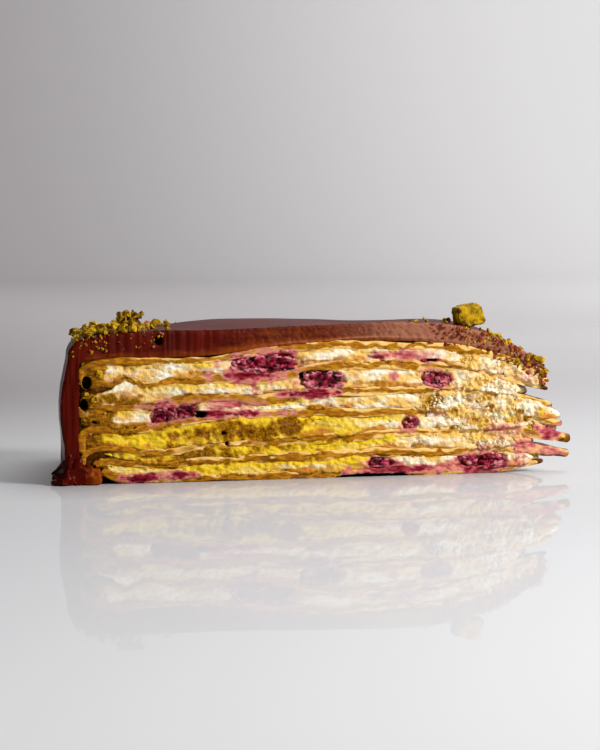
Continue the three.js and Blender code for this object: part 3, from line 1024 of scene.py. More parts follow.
def cream_piece(index, sizes, material):
    """One filling: it takes up the room between two crepes and laps over their cut edges."""
    layer = cream_layers[index]
    ring = Ring(*CREAM_RING)
    tip, rim = layer.tip, CREAM_RIMS[index]
    run = stations(rim - tip, CREAM_CELL, CREAM_ROUNDING)
    across = ring.across(tip + run)
    ragged = 1.1 * MEDIUM(place(60.0, across, 7.0 * index + 3), 1.8)
    near_tip = 1 - smoothstep(run[:, None], 0, 18)
    near_rim = smoothstep(run[:, None], rim - tip - 8, rim - tip)
    s = tip + run[:, None] + (0.25 * tip * (2 * across - 1) ** 2 + ragged) * near_tip
    s = s - 0.5 * np.abs(ragged) * near_rim
    top = crepe_middle(index, s, across) - crepe_half(index, s, across) + CREAM_SINK
    bottom = crepe_middle(index + 1, s, across) + crepe_half(index + 1, s, across) - CREAM_SINK
    middle, half = (top + bottom) / 2, (top - bottom) / 2
    half = half * end_rounding(run, rim - tip, CREAM_ROUNDING)[:, None]
    flat = place(s, across, middle)
    torn = on_cuts(TORN, s, middle, across, flat)
    level = 2 * ring.up - 1
    laps = []
    for shift, most in ((17.0 * index, 1.1), (29.0 * index + 5, 0.8)):
        waving = 0.75 * COARSE(flat + shift, (7, 9, 9)) + 0.25 * FINE(flat + shift, (1.0, 9, 9))
        laps.append(np.clip(0.1 + waving + 0.5 * torn, -0.1, most))
    lapping = np.where(level > 0, *laps)
    lapping = lapping * ring.cut * np.abs(level) ** 6 * smoothstep(half, 0.1, 0.6)
    z = np.maximum(middle + level * (half + lapping), 0.05)
    points = place(s, across, z)
    torn = on_cuts(TORN, s, z, across, points)
    gold = on_cuts(GOLD, s, z, across, points, ragged=0.45)
    seats = on_cuts(BERRY_SPOTS, s, z, across, points, reach=8.0, ragged=0.1, core=0.7)
    hole = holes(s, z, across, points)
    crack = cracks(points) * (1 - torn)
    waves = COARSE(points, (6, 6, 1.9)) + 0.6 * MEDIUM(points, (2.0, 2, 0.9))
    waves = waves + 0.5 * FINE(points, (0.9, 1, 0.6))
    crumb = MEDIUM.lumps(points, 1.25) + 0.55 * FINE.lumps(points, 0.62) - 0.9
    out = -0.12 + sizes.cream_relief / MM * waves + torn * (sizes.torn_relief / MM * crumb + 0.3)
    out = out - 0.2 * np.abs(level) ** 8 + 0.75 * lapping - hole - 0.35 * crack - SEAT_DEPTH * seats
    out = out * smoothstep(half, 0.0, 0.5)
    points = ring.pushed(points, out)
    wandering = level + 0.5 * COARSE(points, (8, 8, 2.4)) + 0.3 * MEDIUM(points, (2.6, 2.6, 1.3))
    streaked = smoothstep(COARSE(points + 50.0, (11, 7, 1.6)), 0.1, 0.6)
    inner = smoothstep(s, 36, 62)
    end, egg = CREAM_ENDS[index], CREAM_YOLK[index]
    ended = smoothstep(s + 1.2 * MEDIUM(points, 2.0), end - 0.8, end + 0.8)
    yellow = egg * (lerp(0.4, 1, inner) + 0.4 * streaked)
    yellow = yellow + (0.4 + 0.4 * egg) * smoothstep(wandering, 0.2, 0.95)
    # Painted shade: the cream is darkened in its low spots and in its hair cracks.
    sunk_shade = np.clip(-0.4 * waves - 0.7 * torn * (crumb + 0.25) - 0.1, 0, 1)
    frayed = np.maximum(*(crepe_share(index + beside, s, z, across, points) for beside in (0, 1)))
    masks = {
        "juice": on_cuts(JUICE, s, z, across, points),
        "gold": np.maximum(np.maximum(gold, 0.95 * ended), 0.9 * frayed * (1 - 0.75 * torn)),
        "yellow": np.clip(yellow * lerp(0.3, 1, inner), 0, 1),
        # Painted shade: the lower part of each cream band turns orange.
        "peach_tint_and_shade": 0.85 * smoothstep(-wandering, 0.3, 1.0) * (1 - 0.6 * torn),
        "pit_shade": np.maximum(sunk_shade, 0.8 * crack) * ring.cut,
        "hole": np.clip(hole / 1.5, 0, 1),
    }
    mesh = loft(f"cream_filling_{index + 1}", points, masks)
    piece = new_piece(mesh.name, mesh, material)
    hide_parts(f"cream_{index + 1}")


# Where the layers run together: name, from and to which distance, the crepes under and over it,
# how far it stands out of the cut, how high its crumb is, how brown it is and how creamy.
BLEND_RING = (34, 8)
BLENDS = {
    "crepe": [("crepe_rim_fold", 118.5, 127.0, 6, 0, -0.3, 0.35, 0.8, 0.25)],
    "cream": [("torn_cream_crumb", 4.6, 36.5, 4, 2, 0.2, 1.1, 0.12, 0.0)],
}


def blend_piece(blend, material):
    """Crepe and cream run together: folded against the coat at the rim, or torn at the tip."""
    name, start, end, under, over, stands_out, relief, brown, creamy = blend
    tip = start if start < 60 else 0.0
    ring = Ring(*BLEND_RING)
    run = stations(end - start, CREAM_CELL, CREAM_ROUNDING)
    across = ring.across(start + run)
    ragged = MEDIUM(place(70.0, across, 31.0 * ring.up), (1.8, 1.8, 4.0))
    ragged = (1.2 + 2.4 * smoothstep(run, 5, 12)[:, None]) * ragged if tip else 0.6 * ragged
    to_end = np.minimum(run, end - start - run)[:, None]
    near_ends = 1 - smoothstep(to_end, 0, 6)
    s = start + run[:, None] + (ragged + 0.25 * tip * (2 * across - 1) ** 2) * near_ends
    top = crepe_middle(over, s, across) if over else look_up(coat_under, s, across)
    bottom = crepe_middle(under, s, across)
    level = (2 * ring.up - 1) * end_rounding(run, end - start, CREAM_ROUNDING)[:, None]
    z = (top + bottom) / 2 + (top - bottom) / 2 * level
    points = place(s, across, z)
    hole = holes(s, z, across, points)
    crumb = MEDIUM.lumps(points, 1.5) + 0.6 * FINE.lumps(points, 0.7) - 0.9
    waves = 0.45 * COARSE(points, (4, 4, 2.2)) + 0.25 * MEDIUM(points, (2.2, 2, 1.2))
    out = stands_out + relief * crumb + waves - hole
    out = out - 0.7 * np.abs(level) ** 8 - 0.8 * (1 - smoothstep(to_end, 0, 3))
    points = ring.pushed(points, out)
    layered = COARSE(points, (14, 14, 1.6)) + 0.5 * MEDIUM(points, (3.5, 3.5, 1.3))
    # Painted shade in the low spots of the crumb.
    sunk_shade = np.clip(-0.8 * crumb - 0.2, 0, 1) * ring.cut
    flecked = smoothstep(MEDIUM(points, 1.7), 0.25, 0.7)
    masks = {
        "skin": np.clip(brown + 0.5 * layered, 0, 1),
        "smear": np.clip(creamy + 0.9 * MEDIUM(points, 1.9) - 0.5, 0, 1),
        "under": sunk_shade,
        "gold": np.clip(brown + 0.5 * flecked + 0.25 * layered, 0, 1),
        "yellow": np.clip(0.6 * COARSE(points + 9.0, (4, 4, 2)), 0, 1),
        "peach_tint_and_shade": 0.25 * smoothstep(-layered, 0.1, 0.7),
        "pit_shade": sunk_shade,
        "juice": on_cuts(JUICE, s, z, across, points),
        "hole": np.clip(hole, 0, 1),
    }
    mesh = loft(name, points, masks)
    new_piece(mesh.name, mesh, material)


# ---------------------------------------------------------------- ganache

SHOULDER_WIDTH = 7.0
SHOULDER_DROP = 4.6
COAT_CELL = 0.32
COAT_ROUNDING = 1.6
WALL_LEAN = 0.5  # how far the wall leans in at its top
WALL_BULGE = 0.7  # how far it bulges lower down
WALL_FLAT = 2.1  # how much flatter the wall is than a circle, halfway between the cuts
BACK_SAG = 1.7  # how much lower the coat's rim is at the back cut than at the front
WALL_HEIGHTS = np.arange(0.4, 31, 0.4)
COAT_RING = (22, 26)
TURN_STEPS = 22  # steps round the coat's shoulder
FOOT_LUMPS = 30  # lumps in each row of the foot
FOOT_VOXEL = 0.3


def wall_radius(height, inside):
    """The radius of the coat's wall at a height, outside or inside."""
    start, direction = (FOOT_RADIUS - 12, 1) if inside else (FOOT_RADIUS + 20, -1)
    origin = place(start, 0.5, height)
    towards = (place(start + direction, 0.5, height) - origin).tolist()
    hit = coat_tree.ray_cast(Vector(origin), Vector(towards))[0]
    return np.nan if hit is None else where(np.array(hit))[0]


wall_outside = np.array([wall_radius(z, False) for z in WALL_HEIGHTS])
wall_outside = wall_outside + WALL_BULGE * (1 - smoothstep(WALL_HEIGHTS, 14, 27))
wall_outside = wall_outside - WALL_LEAN * smoothstep(WALL_HEIGHTS, 22, 31)
COAT_RADIUS = wall_outside[-1]
WALL_INSIDE = wall_radius(CAVITY_HEIGHT, True)
shoulder_start = COAT_RADIUS - SHOULDER_WIDTH
coat_tip = (CENTRE[0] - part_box("ganache_coat")[1][0] / MM) / math.cos(WEDGE / 2)


def coat_level(s, across):
    """The height of the coat's upper face, up to its shoulder."""
    inner = np.minimum(s, shoulder_start)
    return look_up(coat_top, inner, across) - BACK_SAG * across * smoothstep(inner, 92, 124)


def coat_surface(s, across):
    """The height of the coat's upper face, out over its shoulder."""
    past = np.clip((s - shoulder_start) / SHOULDER_WIDTH, 0, 1)
    return coat_level(s, across) - SHOULDER_DROP * (1 - np.sqrt(1 - past**2))


def coat_faces(ring, run, turn, down):
    """Distances and heights of the coat's outer and inner faces: along the slab, round the
    shoulder and down the wall."""
    slab_end, wall_start = len(run), len(run) + len(turn)
    count = wall_start + len(down)
    nominal = np.concatenate([coat_tip + run, np.full(count - slab_end, COAT_RADIUS)])
    across = ring.across(nominal)
    edge = 0.25 * coat_tip * (2 * across - 1) ** 2 + 1.0 * MEDIUM(place(50.0, across, 77.0), 2.0)
    slab = (coat_tip + run)[:, None] + edge[:slab_end] * (1 - smoothstep(run, 0, 22))[:, None]
    outer, inner = np.zeros((2, 2, count, len(ring.side)))
    outer[0][:slab_end], inner[0][:slab_end] = slab, slab
    outer[1][:slab_end] = coat_level(slab, across[:slab_end])
    inner[1][:slab_end] = look_up(coat_under, slab, across[:slab_end])
    bend, bend_across = slice(slab_end, wall_start), across[slab_end:wall_start]
    at_shoulder = np.full_like(bend_across, shoulder_start)
    forward, fall = np.sin(turn)[:, None], (1 - np.cos(turn))[:, None]
    flatter = WALL_FLAT * np.sin(math.pi * bend_across) * forward
    outer[0][bend] = shoulder_start + SHOULDER_WIDTH * forward - flatter
    outer[1][bend] = coat_level(at_shoulder, bend_across) - SHOULDER_DROP * fall
    inner[0][bend] = lerp(shoulder_start, WALL_INSIDE, forward)
    inner[1][bend] = look_up(coat_under, at_shoulder, bend_across) - 1.4 * fall
    wall_z = lerp(outer[1][wall_start - 1], 0.3, down[:, None])
    flatter = WALL_FLAT * np.sin(math.pi * across[wall_start:])
    outer[0][wall_start:] = np.interp(wall_z, WALL_HEIGHTS, wall_outside) - flatter
    outer[1][wall_start:] = wall_z
    inner[1][:wall_start] -= 0.3
    inner[0][wall_start:] = WALL_INSIDE
    inner[1][wall_start:] = lerp(inner[1][wall_start - 1], 0.3, down[:, None])
    return across, outer, inner


def ganache_piece(material):
    """The coat: a slab over the crepes that turns down round the shoulder into the wall."""
    ring = Ring(*COAT_RING)
    run = stations(shoulder_start - coat_tip, COAT_CELL, COAT_ROUNDING)
    run = run[run <= shoulder_start - coat_tip - COAT_ROUNDING]
    turn = np.linspace(0, math.pi / 2, TURN_STEPS)[1:]
    wall_top = float(coat_surface(np.array(COAT_RADIUS), np.array(0.5)))
    down = np.linspace(0, 1, int(wall_top / COAT_CELL))[1:]
    across, outer, inner = coat_faces(ring, run, turn, down)
    at_tip = end_rounding(run, math.inf, COAT_ROUNDING)
    rounding = np.concatenate([at_tip, np.ones(len(turn) + len(down))])
    rounding[-4:] = [0.9, 0.75, 0.5, 0.0]
    rounding = rounding[:, None]
    level = 2 * ring.up - 1
    s, z = (outer + inner) / 2 + (outer - inner) / 2 * rounding * level
    points = place(s, across, z)
    ripple = 0.22 * COARSE(points, (22, 30, 16)) + 0.07 * COARSE(points, (9, 9, 9))
    drape = np.abs(MEDIUM(points, (4, 4, 22))) + 0.5 * COARSE(points, (5, 5, 9))
    ripple = ripple + 1.1 * drape * (1 - smoothstep(z, 3, 15)) * (s > WALL_INSIDE)
    rise = ripple * (ring.up > 0.99) * rounding
    on_wall = smoothstep(s, shoulder_start, COAT_RADIUS)
    z = z + rise * (1 - on_wall)
    s = s + rise * on_wall
    points = place(s, across, z)
    on_slab = 1 - smoothstep(s, 112, 118)
    tipward = 1 - smoothstep(s, 28, 70)
    rimward = smoothstep(s, 78, 100)
    scratches = FINE(points, (0.55, 1, 7)) * 0.12 + MEDIUM(points, (1.6, 1, 9)) * 0.09
    pores = np.clip(FINE(points, 0.62), -1, 0.3) * 0.2 + MEDIUM(points, (2.2, 2, 1.2)) * 0.09
    out = lerp(pores, scratches, rimward) + 0.14 * COARSE(points, (8, 8, 3))
    thickness = np.maximum(outer[1] - inner[1], 1.0)
    above_lip = (z - inner[1]) - 0.85 - 0.4 * MEDIUM(points, (7, 9, 50))
    lip = np.exp(-((above_lip / 0.28) ** 2)) * smoothstep(s, 30, 44) * (1 - smoothstep(s, 76, 92))
    torn = (1 - smoothstep(s, 12, 30)) * on_slab
    out = out + 0.35 * lip + torn * (0.6 * MEDIUM.lumps(points, 1.4) - 0.3)
    hole = holes(s, z, across, points)
    out = out - hole - 0.35 * np.abs(level) ** 10
    points = ring.pushed(points, out * np.minimum(rounding * 1.5, 1))
    cut = ring.cut * (1 - smoothstep(s, 124.5, 127.5))
    lower = 1 - smoothstep((z - inner[1]) / thickness, 0.02, 0.42)
    middle = 0.4 * (1 - tipward) * (1 - 0.65 * rimward)
    # Paler towards the tip: partly bloom and partly painted sheen.
    bloom_and_sheen = tipward * 0.95 + 0.22 * (1 - rimward) + 0.7 * lip - 0.5 * lower
    masks = {
        "dull": np.maximum(cut, 0.6 * (1 - on_wall)),
        "bloom_and_sheen": cut * on_slab * np.clip(bloom_and_sheen, 0, 1),
        "warm": cut * np.clip(middle + 0.85 * lower * (1 - 0.55 * rimward), 0, 1),
        "hole": np.clip(hole, 0, 1),
    }
    mesh = loft("ganache_glaze", points, masks)
    piece = new_piece(mesh.name, mesh, material)
    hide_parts("ganache_coat")


# Rows of the foot's lumps: distance, width and height of a lump.
FOOT_ROWS = [(131.0, 3.2, 2.0), (129.4, 3.4, 5.4), (127.0, 4.4, 4.6), (124.6, 5.4, 3.0)]
# Folds of the foot at the front cut: distance, height and size.
FRONT_FOLDS = [
    (122.6, 2.0, (2.8, 3.4, 3.8)),
    (124.4, 2.6, (2.2, 3.8, 4.8)),
    (126.2, 1.6, (2.2, 4.2, 3.0)),
    (127.4, 4.4, (1.9, 3.4, 7.4)),
    (128.8, 2.2, (2.2, 4.0, 4.2)),
    (129.6, 5.4, (1.8, 3.0, 6.6)),
    (130.8, 1.6, (2.4, 3.6, 3.0)),
    (132.4, 0.8, (3.4, 3.2, 1.5)),
]


def ganache_foot(material):
    """The foot: ganache that ran down the wall and set on the board in soft folds."""
    rng = np.random.default_rng(21)
    parts = []
    for across in np.linspace(0.0, 1.0, FOOT_LUMPS):
        spin = np.array(Matrix.Rotation(-WEDGE * across, 3, "Z"))
        for radius, wide, tall in FOOT_ROWS:
            size = np.array([wide, 3.6, tall]) * rng.uniform(0.7, 1.2, 3)
            points, faces = lump(3, size, 0.95, 0.06, int(rng.integers(999)))
            radius = radius + rng.uniform(-0.6, 0.6) - WALL_FLAT * math.sin(math.pi * across)
            spot = place(radius, across, size[2] * 0.46)
            parts.append((points @ spin.T + spot, faces))
    for s, z, size in FRONT_FOLDS:
        points, faces = lump(3, size, 0.9, 0.2, int(10 * s))
        parts.append((points + place(s, 0.012, z), faces))
    mesh = fused("ganache_foot", parts, FOOT_VOXEL)
    points = read_points(mesh)
    s, across = where(points)
    folds = 0.45 * MEDIUM(points, (1.2, 1.4, 6)) + 0.3 * COARSE(points, 2.6)
    folds = folds + 0.15 * FINE(points, 0.8)
    height = np.maximum(points[:, 2], 0.02)
    points = place(s + folds, across, height)
    points[:, 1] = np.maximum(points[:, 1], CENTRE[1] - 1.2 + 0.9 * folds)
    write_points(mesh, points)
    write_mask(mesh, "warm", 0.9 * np.exp(-(((s - 123.0) / 2.2) ** 2)) * (across < 0.04))
    new_piece(mesh.name, mesh, material)


# ---------------------------------------------------------------- berries

DRUPELET = 1.4  # mm across
DRUPELET_ROOM = 0.6  # cubic mm of half-length by half-height by depth for each drupelet
FEWEST_DRUPELETS = 20
BERRY_VOXEL = 0.18
BERRY_SEED = 40
# How dark the riper berries are; the others have PALE_RIPENESS.
BERRY_RIPENESS = {
    "berry_third_rim": 0.55,
    "berry_third_inner": 0.6,
    "berry_second_centre": 0.3,
    "berry_back_second": 0.5,
}
PALE_RIPENESS = 0.15


def berry_piece(node, seed, material):
    """A broken berry in the cut: drupelets crushed flat against the knife's way, and torn."""
    side, (at, height), (half_s, half_z) = BERRY_SEATS[node]
    rng = np.random.default_rng(seed)
    s, across = where(node_points(node))
    depth = (s * WEDGE * (across if side == 0 else 1 - across)).max()
    parts = []
    for _ in range(int(max(FEWEST_DRUPELETS, half_s * half_z * depth / DRUPELET_ROOM))):
        away = rng.uniform(-1, 1, 2)
        if np.hypot(*away) > 1:
            away = away / np.hypot(*away) * rng.uniform(0.5, 1.2)
        reach = max(0.0, 1 - np.hypot(*away) ** 2) ** 0.5
        inward = rng.uniform(0.05, 0.9) * depth * reach
        size = np.array([1.5, 1.0, 0.72]) * DRUPELET * rng.uniform(0.5, 1.1, 3)
        size[2] = min(size[2], 1.7 * half_z)
        drupelet, faces = lump(3, size, 0.95, 0.12, int(rng.integers(9999)))
        drupelet = drupelet @ turned(rng, 0.5).T
        spot_s = at + away[0] * max(half_s - size[0] / 2, 0.2)
        spot_z = height + away[1] * max(half_z - size[2] / 2 + 0.15, 0.1)
        share = inward / (spot_s * WEDGE)
        parts.append((drupelet + place(spot_s, share if side == 0 else 1 - share, spot_z), faces))
    mesh = fused(node.replace("berry", "berry_flesh"), parts, BERRY_VOXEL)
    skin = read_points(mesh)
    normal = np.array(CUT_NORMALS[FRONT if side == 0 else BACK])
    plane = (skin - place(0.0, 0.0, 0.0)) @ normal
    tears = MEDIUM.lumps(skin, (2.2, 1.6, 1.1))
    limit = 0.1 + 0.4 * MEDIUM(skin, (2.0, 1.3, 1.0)) + 0.25 * FINE(skin, (0.9, 0.6, 0.5))
    limit = limit + 0.35 * tears
    push = np.minimum(limit - plane, 0) + 0.2 * FINE(skin, (1.4, 1.2, 0.4))
    skin = skin + push[:, None] * normal
    skin[:, 2] = np.maximum(skin[:, 2], 0.05)
    write_points(mesh, skin)
    away = np.hypot((where(skin)[0] - at) / half_s, (skin[:, 2] - height) / half_z)
    milky = smoothstep(away, 0.45, 1.05) * 0.95 + 0.6 * COARSE(skin, (2.6, 2, 1.4))
    milky = milky + 0.35 * FINE(skin, (2, 1, 0.5))
    # Painted shade in the cracks between the torn lumps, broken up by noise.
    write_mask(mesh, "fold_shade", smoothstep(1 - tears, 0.4, 0.8) * 0.9 + 0.3 * MEDIUM(skin, 1.2))
    write_mask(mesh, "milky", np.clip(milky, 0, 1))
    write_mask(mesh, "ripe", np.full(len(skin), BERRY_RIPENESS.get(node, PALE_RIPENESS)))
    piece = new_piece(mesh.name, mesh, material)
    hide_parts(node)


# ---------------------------------------------------------------- nuts and crumbs

BLOCK_TILT = math.radians(14)
BLOCK_SINK = 0.6  # how far the large kernel at the tip sits down in the coat
HEAP_CHIPS = 34
HEAP_VOXEL = 0.17
CHIP_CORNERS = 11
CHIP_SHAPES = 16  # different chips among strewn crumbs

def chip(rng):
    """An angular chip's points and faces, about 1 across: the hull of a few points."""
    corners = rng.normal(0, 1, (CHIP_CORNERS, 3))
    corners = corners / np.linalg.norm(corners, axis=1)[:, None] * rng.uniform(0.35, 0.55, 3)
    work = bmesh.new()
    for corner in corners:
        work.verts.new(corner)
    bmesh.ops.convex_hull(work, input=work.verts)
    work.verts.index_update()
    points = np.array([v.co for v in work.verts])
    faces = np.array([[v.index for v in f.verts] for f in work.faces])
    work.free()
    return points, faces


def chipped(size, square, seed):
    """A broken kernel's points and faces, with flat chips knocked off it."""
    points, faces = lump(5, size, square, 0.06, seed)
    knocked = 0.7 * (COARSE.lumps(points + seed * 3.0, 2.6) - 0.5)
    knocked = knocked + 0.5 * (MEDIUM.lumps(points, 1.1) - 0.5) + 0.12 * FINE(points, 0.35)
    return points * (1 + knocked / np.linalg.norm(points, axis=1))[:, None], faces


def nut_block(node, material):
    """The large cube of kernel near the tip."""
    low, high = (np.array(c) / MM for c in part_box(node))
    points, faces = chipped((high - low) * (0.93, 0.93, 0.97), 0.36, 4)
    points = points @ np.array(Matrix.Rotation(BLOCK_TILT, 3, "Y"))
    points = points + (low + high) / 2 - (0, 0, BLOCK_SINK)
    mesh = mesh_of(node.replace("nut", "nut_kernel"), points, faces)
    tidy_mesh(mesh)
    points = read_points(mesh)
    outermost = np.sort(np.abs(points - (low + high) / 2) / (high - low) * 2, axis=1)
    worn = smoothstep(outermost[:, 1], 0.55, 0.95) + 0.6 * COARSE(points, 1.6)
    write_mask(mesh, "skin", np.clip(0.75 * worn, 0, 1))
    piece = new_piece(mesh.name, mesh, material)
    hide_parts(node)


def nut_heap(node, material):
    """The heap of broken kernels at the rim."""
    low, high = (np.array(c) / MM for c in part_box(node))
    rng = np.random.default_rng(31)
    parts = []
    for _ in range(HEAP_CHIPS):
        away = rng.normal(0, 0.42, 3)
        away = away / max(1.0, np.linalg.norm(away))
        size = rng.uniform(2.4, 4.2) * np.array([1.0, 0.85, 0.7])
        spot = (low + high) / 2 + away * ((high - low) / 2 - size * 0.35) - (0, 0, 0.2)
        points, faces = chip(rng)
        parts.append((points * size @ turned(rng).T + spot, faces))
    mesh = fused(node.replace("nut", "nut_kernel"), parts, HEAP_VOXEL)
    points = read_points(mesh)
    worn = np.stack([FINE(points + shift, 0.8) for shift in (0.0, 40.0, 80.0)], axis=-1)
    points = points + 0.16 * worn
    write_points(mesh, points)
    write_mask(mesh, "skin", 0.35 + 0.5 * COARSE(points, 2.2))
    piece = new_piece(mesh.name, mesh, material)
    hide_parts(node)


def chips(seed):
    """A few chips to be strewn."""
    rng = np.random.default_rng(seed)
    return [chip(rng) for _ in range(CHIP_SHAPES)]


def strewn(name, spots, shapes, seed, material, masks=None):
    """Crumbs of one kind, each a turned and sized copy of a shape, as one mesh. `masks` gives a
    value for each crumb."""
    rng = np.random.default_rng(seed)
    parts = []
    for spot, size in spots:
        points, faces = shapes[int(rng.integers(len(shapes)))]
        parts.append((points * size @ turned(rng).T + spot, faces))
    counts = [len(part[0]) for part in parts]
    points, faces = joined(parts)
    each = {mask: np.repeat(values, counts) for mask, values in (masks or {}).items()}
    mesh = mesh_of(name, points, faces, each)
    mesh.shade_flat()
    new_piece(name, mesh, material)


def mound(s, across):
    """How high crumbs are heaped on the coat: a ridge round the rim and a heap at the front."""
    depth = s * WEDGE * across
    ridge = 0.8 * np.exp(-(((s - 118) / 6.0) ** 2))
    front = 1.5 * np.exp(-(((s - 114) / 5.0) ** 2) - ((depth - 5.5) / 6.0) ** 2)
    return ridge + front


def coat_crumbs(rng, count, usual):
    """Places and sizes of crumbs on the coat: most round the rim and a few round the tip."""
    spots = []
    while len(spots) < count:
        across = rng.uniform(0.0, 1.0)
        near_rim = rng.random() < 0.9
        s = rng.normal(118.5, 5.5) if near_rim else 7.0 + abs(rng.normal(0, 15.0))
        if s > COAT_RADIUS - 1.2 - WALL_FLAT * math.sin(math.pi * across) or 42 < s < 98:
            continue
        size = min(usual * rng.lognormal(-0.2, 0.5), 3.4) * (1.0 if near_rim else 0.8)
        lift = rng.uniform(0, 1) * mound(s, across) + 0.2 * size
        height = float(coat_surface(np.array(s), np.array(across))) + lift
        spots.append((place(s, across, height), size))
    return spots


def cut_crumbs(rng, count, s_range, band, size_range, across=0.0):
    """Places of crumbs pressed into a cut of the coat, in a band below its upper edge."""
    spots = []
    for _ in range(count):
        s = rng.uniform(*s_range)
        top = float(coat_surface(np.array(s), np.array(across)))
        height = top - rng.uniform(0, 1) ** 1.4 * band
        outward = np.array(CUT_NORMALS[FRONT if across < 0.5 else BACK])
        spot = place(s, across, height) + outward * rng.uniform(-0.3, 0.25)
        spots.append((spot, rng.uniform(*size_range)))
    return spots


TORN_TRIES = 420  # places tried for crumb on each cream at each cut

# Chips of kernel pressed into the front cut: distance, height and size.
CUT_CHIPS = [
    (122.2, 27.0, 2.3),
    (123.8, 20.8, 2.1),
    (125.4, 22.2, 1.5),
    (125.8, 15.6, 1.7),
    (124.2, 12.6, 1.2),
    (121.0, 17.4, 1.1),
]
# Single large crumbs: distance, share of the wedge, height over the coat and size.
SINGLE_CRUMBS = [
    (8.2, 0.06, 0.6, 3.0),
    (19.0, 0.1, 0.3, 1.9),
    (16.4, 0.05, 0.2, 1.6),
    (124.6, 0.02, -0.2, 3.2),
    (127.0, 0.05, 0.1, 2.6),
    (121.0, 0.04, 0.9, 3.0),
    (117.6, 0.06, 1.4, 3.2),
    (104.6, 0.05, 0.6, 2.2),
    (41.0, 0.05, 0.1, 1.3),
    (38.0, 0.08, 0.2, 1.5),
]


def single_crumbs():
    spots = []
    for s, across, lift, size in SINGLE_CRUMBS:
        height = float(coat_surface(np.array(s), np.array(across))) + lift + 0.2 * size
        spots.append((place(s, across, height), size))
    return spots


def torn_crumbs(material):
    """Crumb of cream and crepe that hangs on the torn parts of both cuts, cream by cream."""
    rng = np.random.default_rng(77)
    spots, gold, juice = [], [], []
    for across, cut, torn_spots, juice_spots in zip((0.0, 1.0), (FRONT, BACK), TORN, JUICE):
        outward = np.array(CUT_NORMALS[cut])
        for layer in cream_layers:
            s = rng.uniform(1.35 * layer.tip + 1.5, 46, TORN_TRIES)
            edge = np.full_like(s, across)
            middle, half = look_up(layer.middle, s, edge), look_up(layer.half, s, edge)
            z = middle + rng.uniform(-1.3, 1.3, TORN_TRIES) * half
            points = place(s, across, z)
            shown = rng.uniform(0.25, 1.1, TORN_TRIES) < spread(torn_spots, s, z, points, 0.5)
            clumps = MEDIUM(points, (3.0, 2.0, 2.0))
            sizes = np.clip(rng.lognormal(-0.2, 0.36, TORN_TRIES) * (0.9 + 0.5 * clumps), 0.4, 1.9)
            soaked = spread(juice_spots, s, z, points)
            for i in np.flatnonzero(shown & (clumps > -0.4) & (z > 0.3)):
                inside = outward * rng.uniform(0.0, 0.45) * sizes[i]
                spots.append((points[i] - inside, float(sizes[i])))
                gold.append(rng.uniform(0.1, 0.6) if rng.random() < 0.14 else 0.0)
                juice.append(soaked[i])
    masks = {"gold": gold, "juice": juice, "yellow": rng.uniform(-0.8, 0.6, len(spots)).clip(0, 1)}
    strewn("torn_crumb", spots, chips(8), 8, material, masks)


# ---------------------------------------------------------------- operators


def looks():
    return bpy.context.scene.cake_colours


def sizes():
    return bpy.context.scene.cake_sizes


class CAKE_OT_crepes(bpy.types.Operator):
    """Makes the seven crepes"""

    bl_idname = "cake.crepes"
    bl_label = "Crepes"

    def execute(self, context):
        material = crepe_material(looks())
        for index in range(CREPES):
            crepe_piece(index, sizes(), material)
        for blend in BLENDS["crepe"]:
            blend_piece(blend, material)
        return {"FINISHED"}


class CAKE_OT_creams(bpy.types.Operator):
    """Makes the six cream fillings"""

    bl_idname = "cake.creams"
    bl_label = "Creams"

    def execute(self, context):
        material = cream_material(looks())
        for index in range(CREAMS):
            cream_piece(index, sizes(), material)
        for blend in BLENDS["cream"]:
            blend_piece(blend, material)
        torn_crumbs(material)
        return {"FINISHED"}


class CAKE_OT_ganache(bpy.types.Operator):
    """Makes the ganache coat and its foot"""

    bl_idname = "cake.ganache"
    bl_label = "Ganache"

    def execute(self, context):
        material = ganache_material(looks())
        ganache_piece(material)
        ganache_foot(material)
        return {"FINISHED"}


class CAKE_OT_berries(bpy.types.Operator):
    """Makes the broken berries at both cuts"""

    bl_idname = "cake.berries"
    bl_label = "Berries"

    def execute(self, context):
        material = berry_material(looks())
        for seed, node in enumerate(sorted(BERRY_NODES)):
            berry_piece(node, seed + BERRY_SEED, material)
        return {"FINISHED"}


class CAKE_OT_nuts(bpy.types.Operator):
    """Makes the large nut pieces and the crumbs on the coat"""

    bl_idname = "cake.nuts"
    bl_label = "Nuts and crumbs"

    def execute(self, context):
        kernel = nut_material(looks())
        brittle = brittle_material(looks())
        nut_block("nut_tip", kernel)
        nut_heap("nut_rim", kernel)
        rng = np.random.default_rng(12)
        usual, count = sizes().crumb_size / MM, sizes().crumb_count
        spots = coat_crumbs(rng, count, usual) + single_crumbs()
        spots += cut_crumbs(rng, 44, (106, 129), 4.5, (0.35, 1.1))
        spots += cut_crumbs(rng, 60, (6, 30), 4.5, (0.45, 1.7))
        spots += [(place(s, 0.0, z), size) for s, z, size in CUT_CHIPS]
        spots += cut_crumbs(rng, 40, (106, 129), 4.0, (0.5, 1.6), 1.0)
        skin = rng.uniform(-0.3, 0.75, len(spots)).clip(0, 1)
        strewn("nut_crumbs", spots, chips(60), 5, kernel, {"skin": skin})
        spots = coat_crumbs(rng, count // 4, usual * 0.6)
        spots += cut_crumbs(rng, 30, (106, 129), 4.5, (0.4, 1.2))
        spots += cut_crumbs(rng, 170, (6, 38), 5.2, (0.4, 1.7))
        strewn("nut_skin_crumbs", spots, chips(80), 6, brittle)
        return {"FINISHED"}


# ---------------------------------------------------------------- the stage


def aim(thing, place_mm, target_mm):
    thing.location = Vector(place_mm) * MM
    direction = Vector(target_mm) * MM - thing.location
    thing.rotation_euler = direction.to_track_quat("-Z", "Y").to_euler()


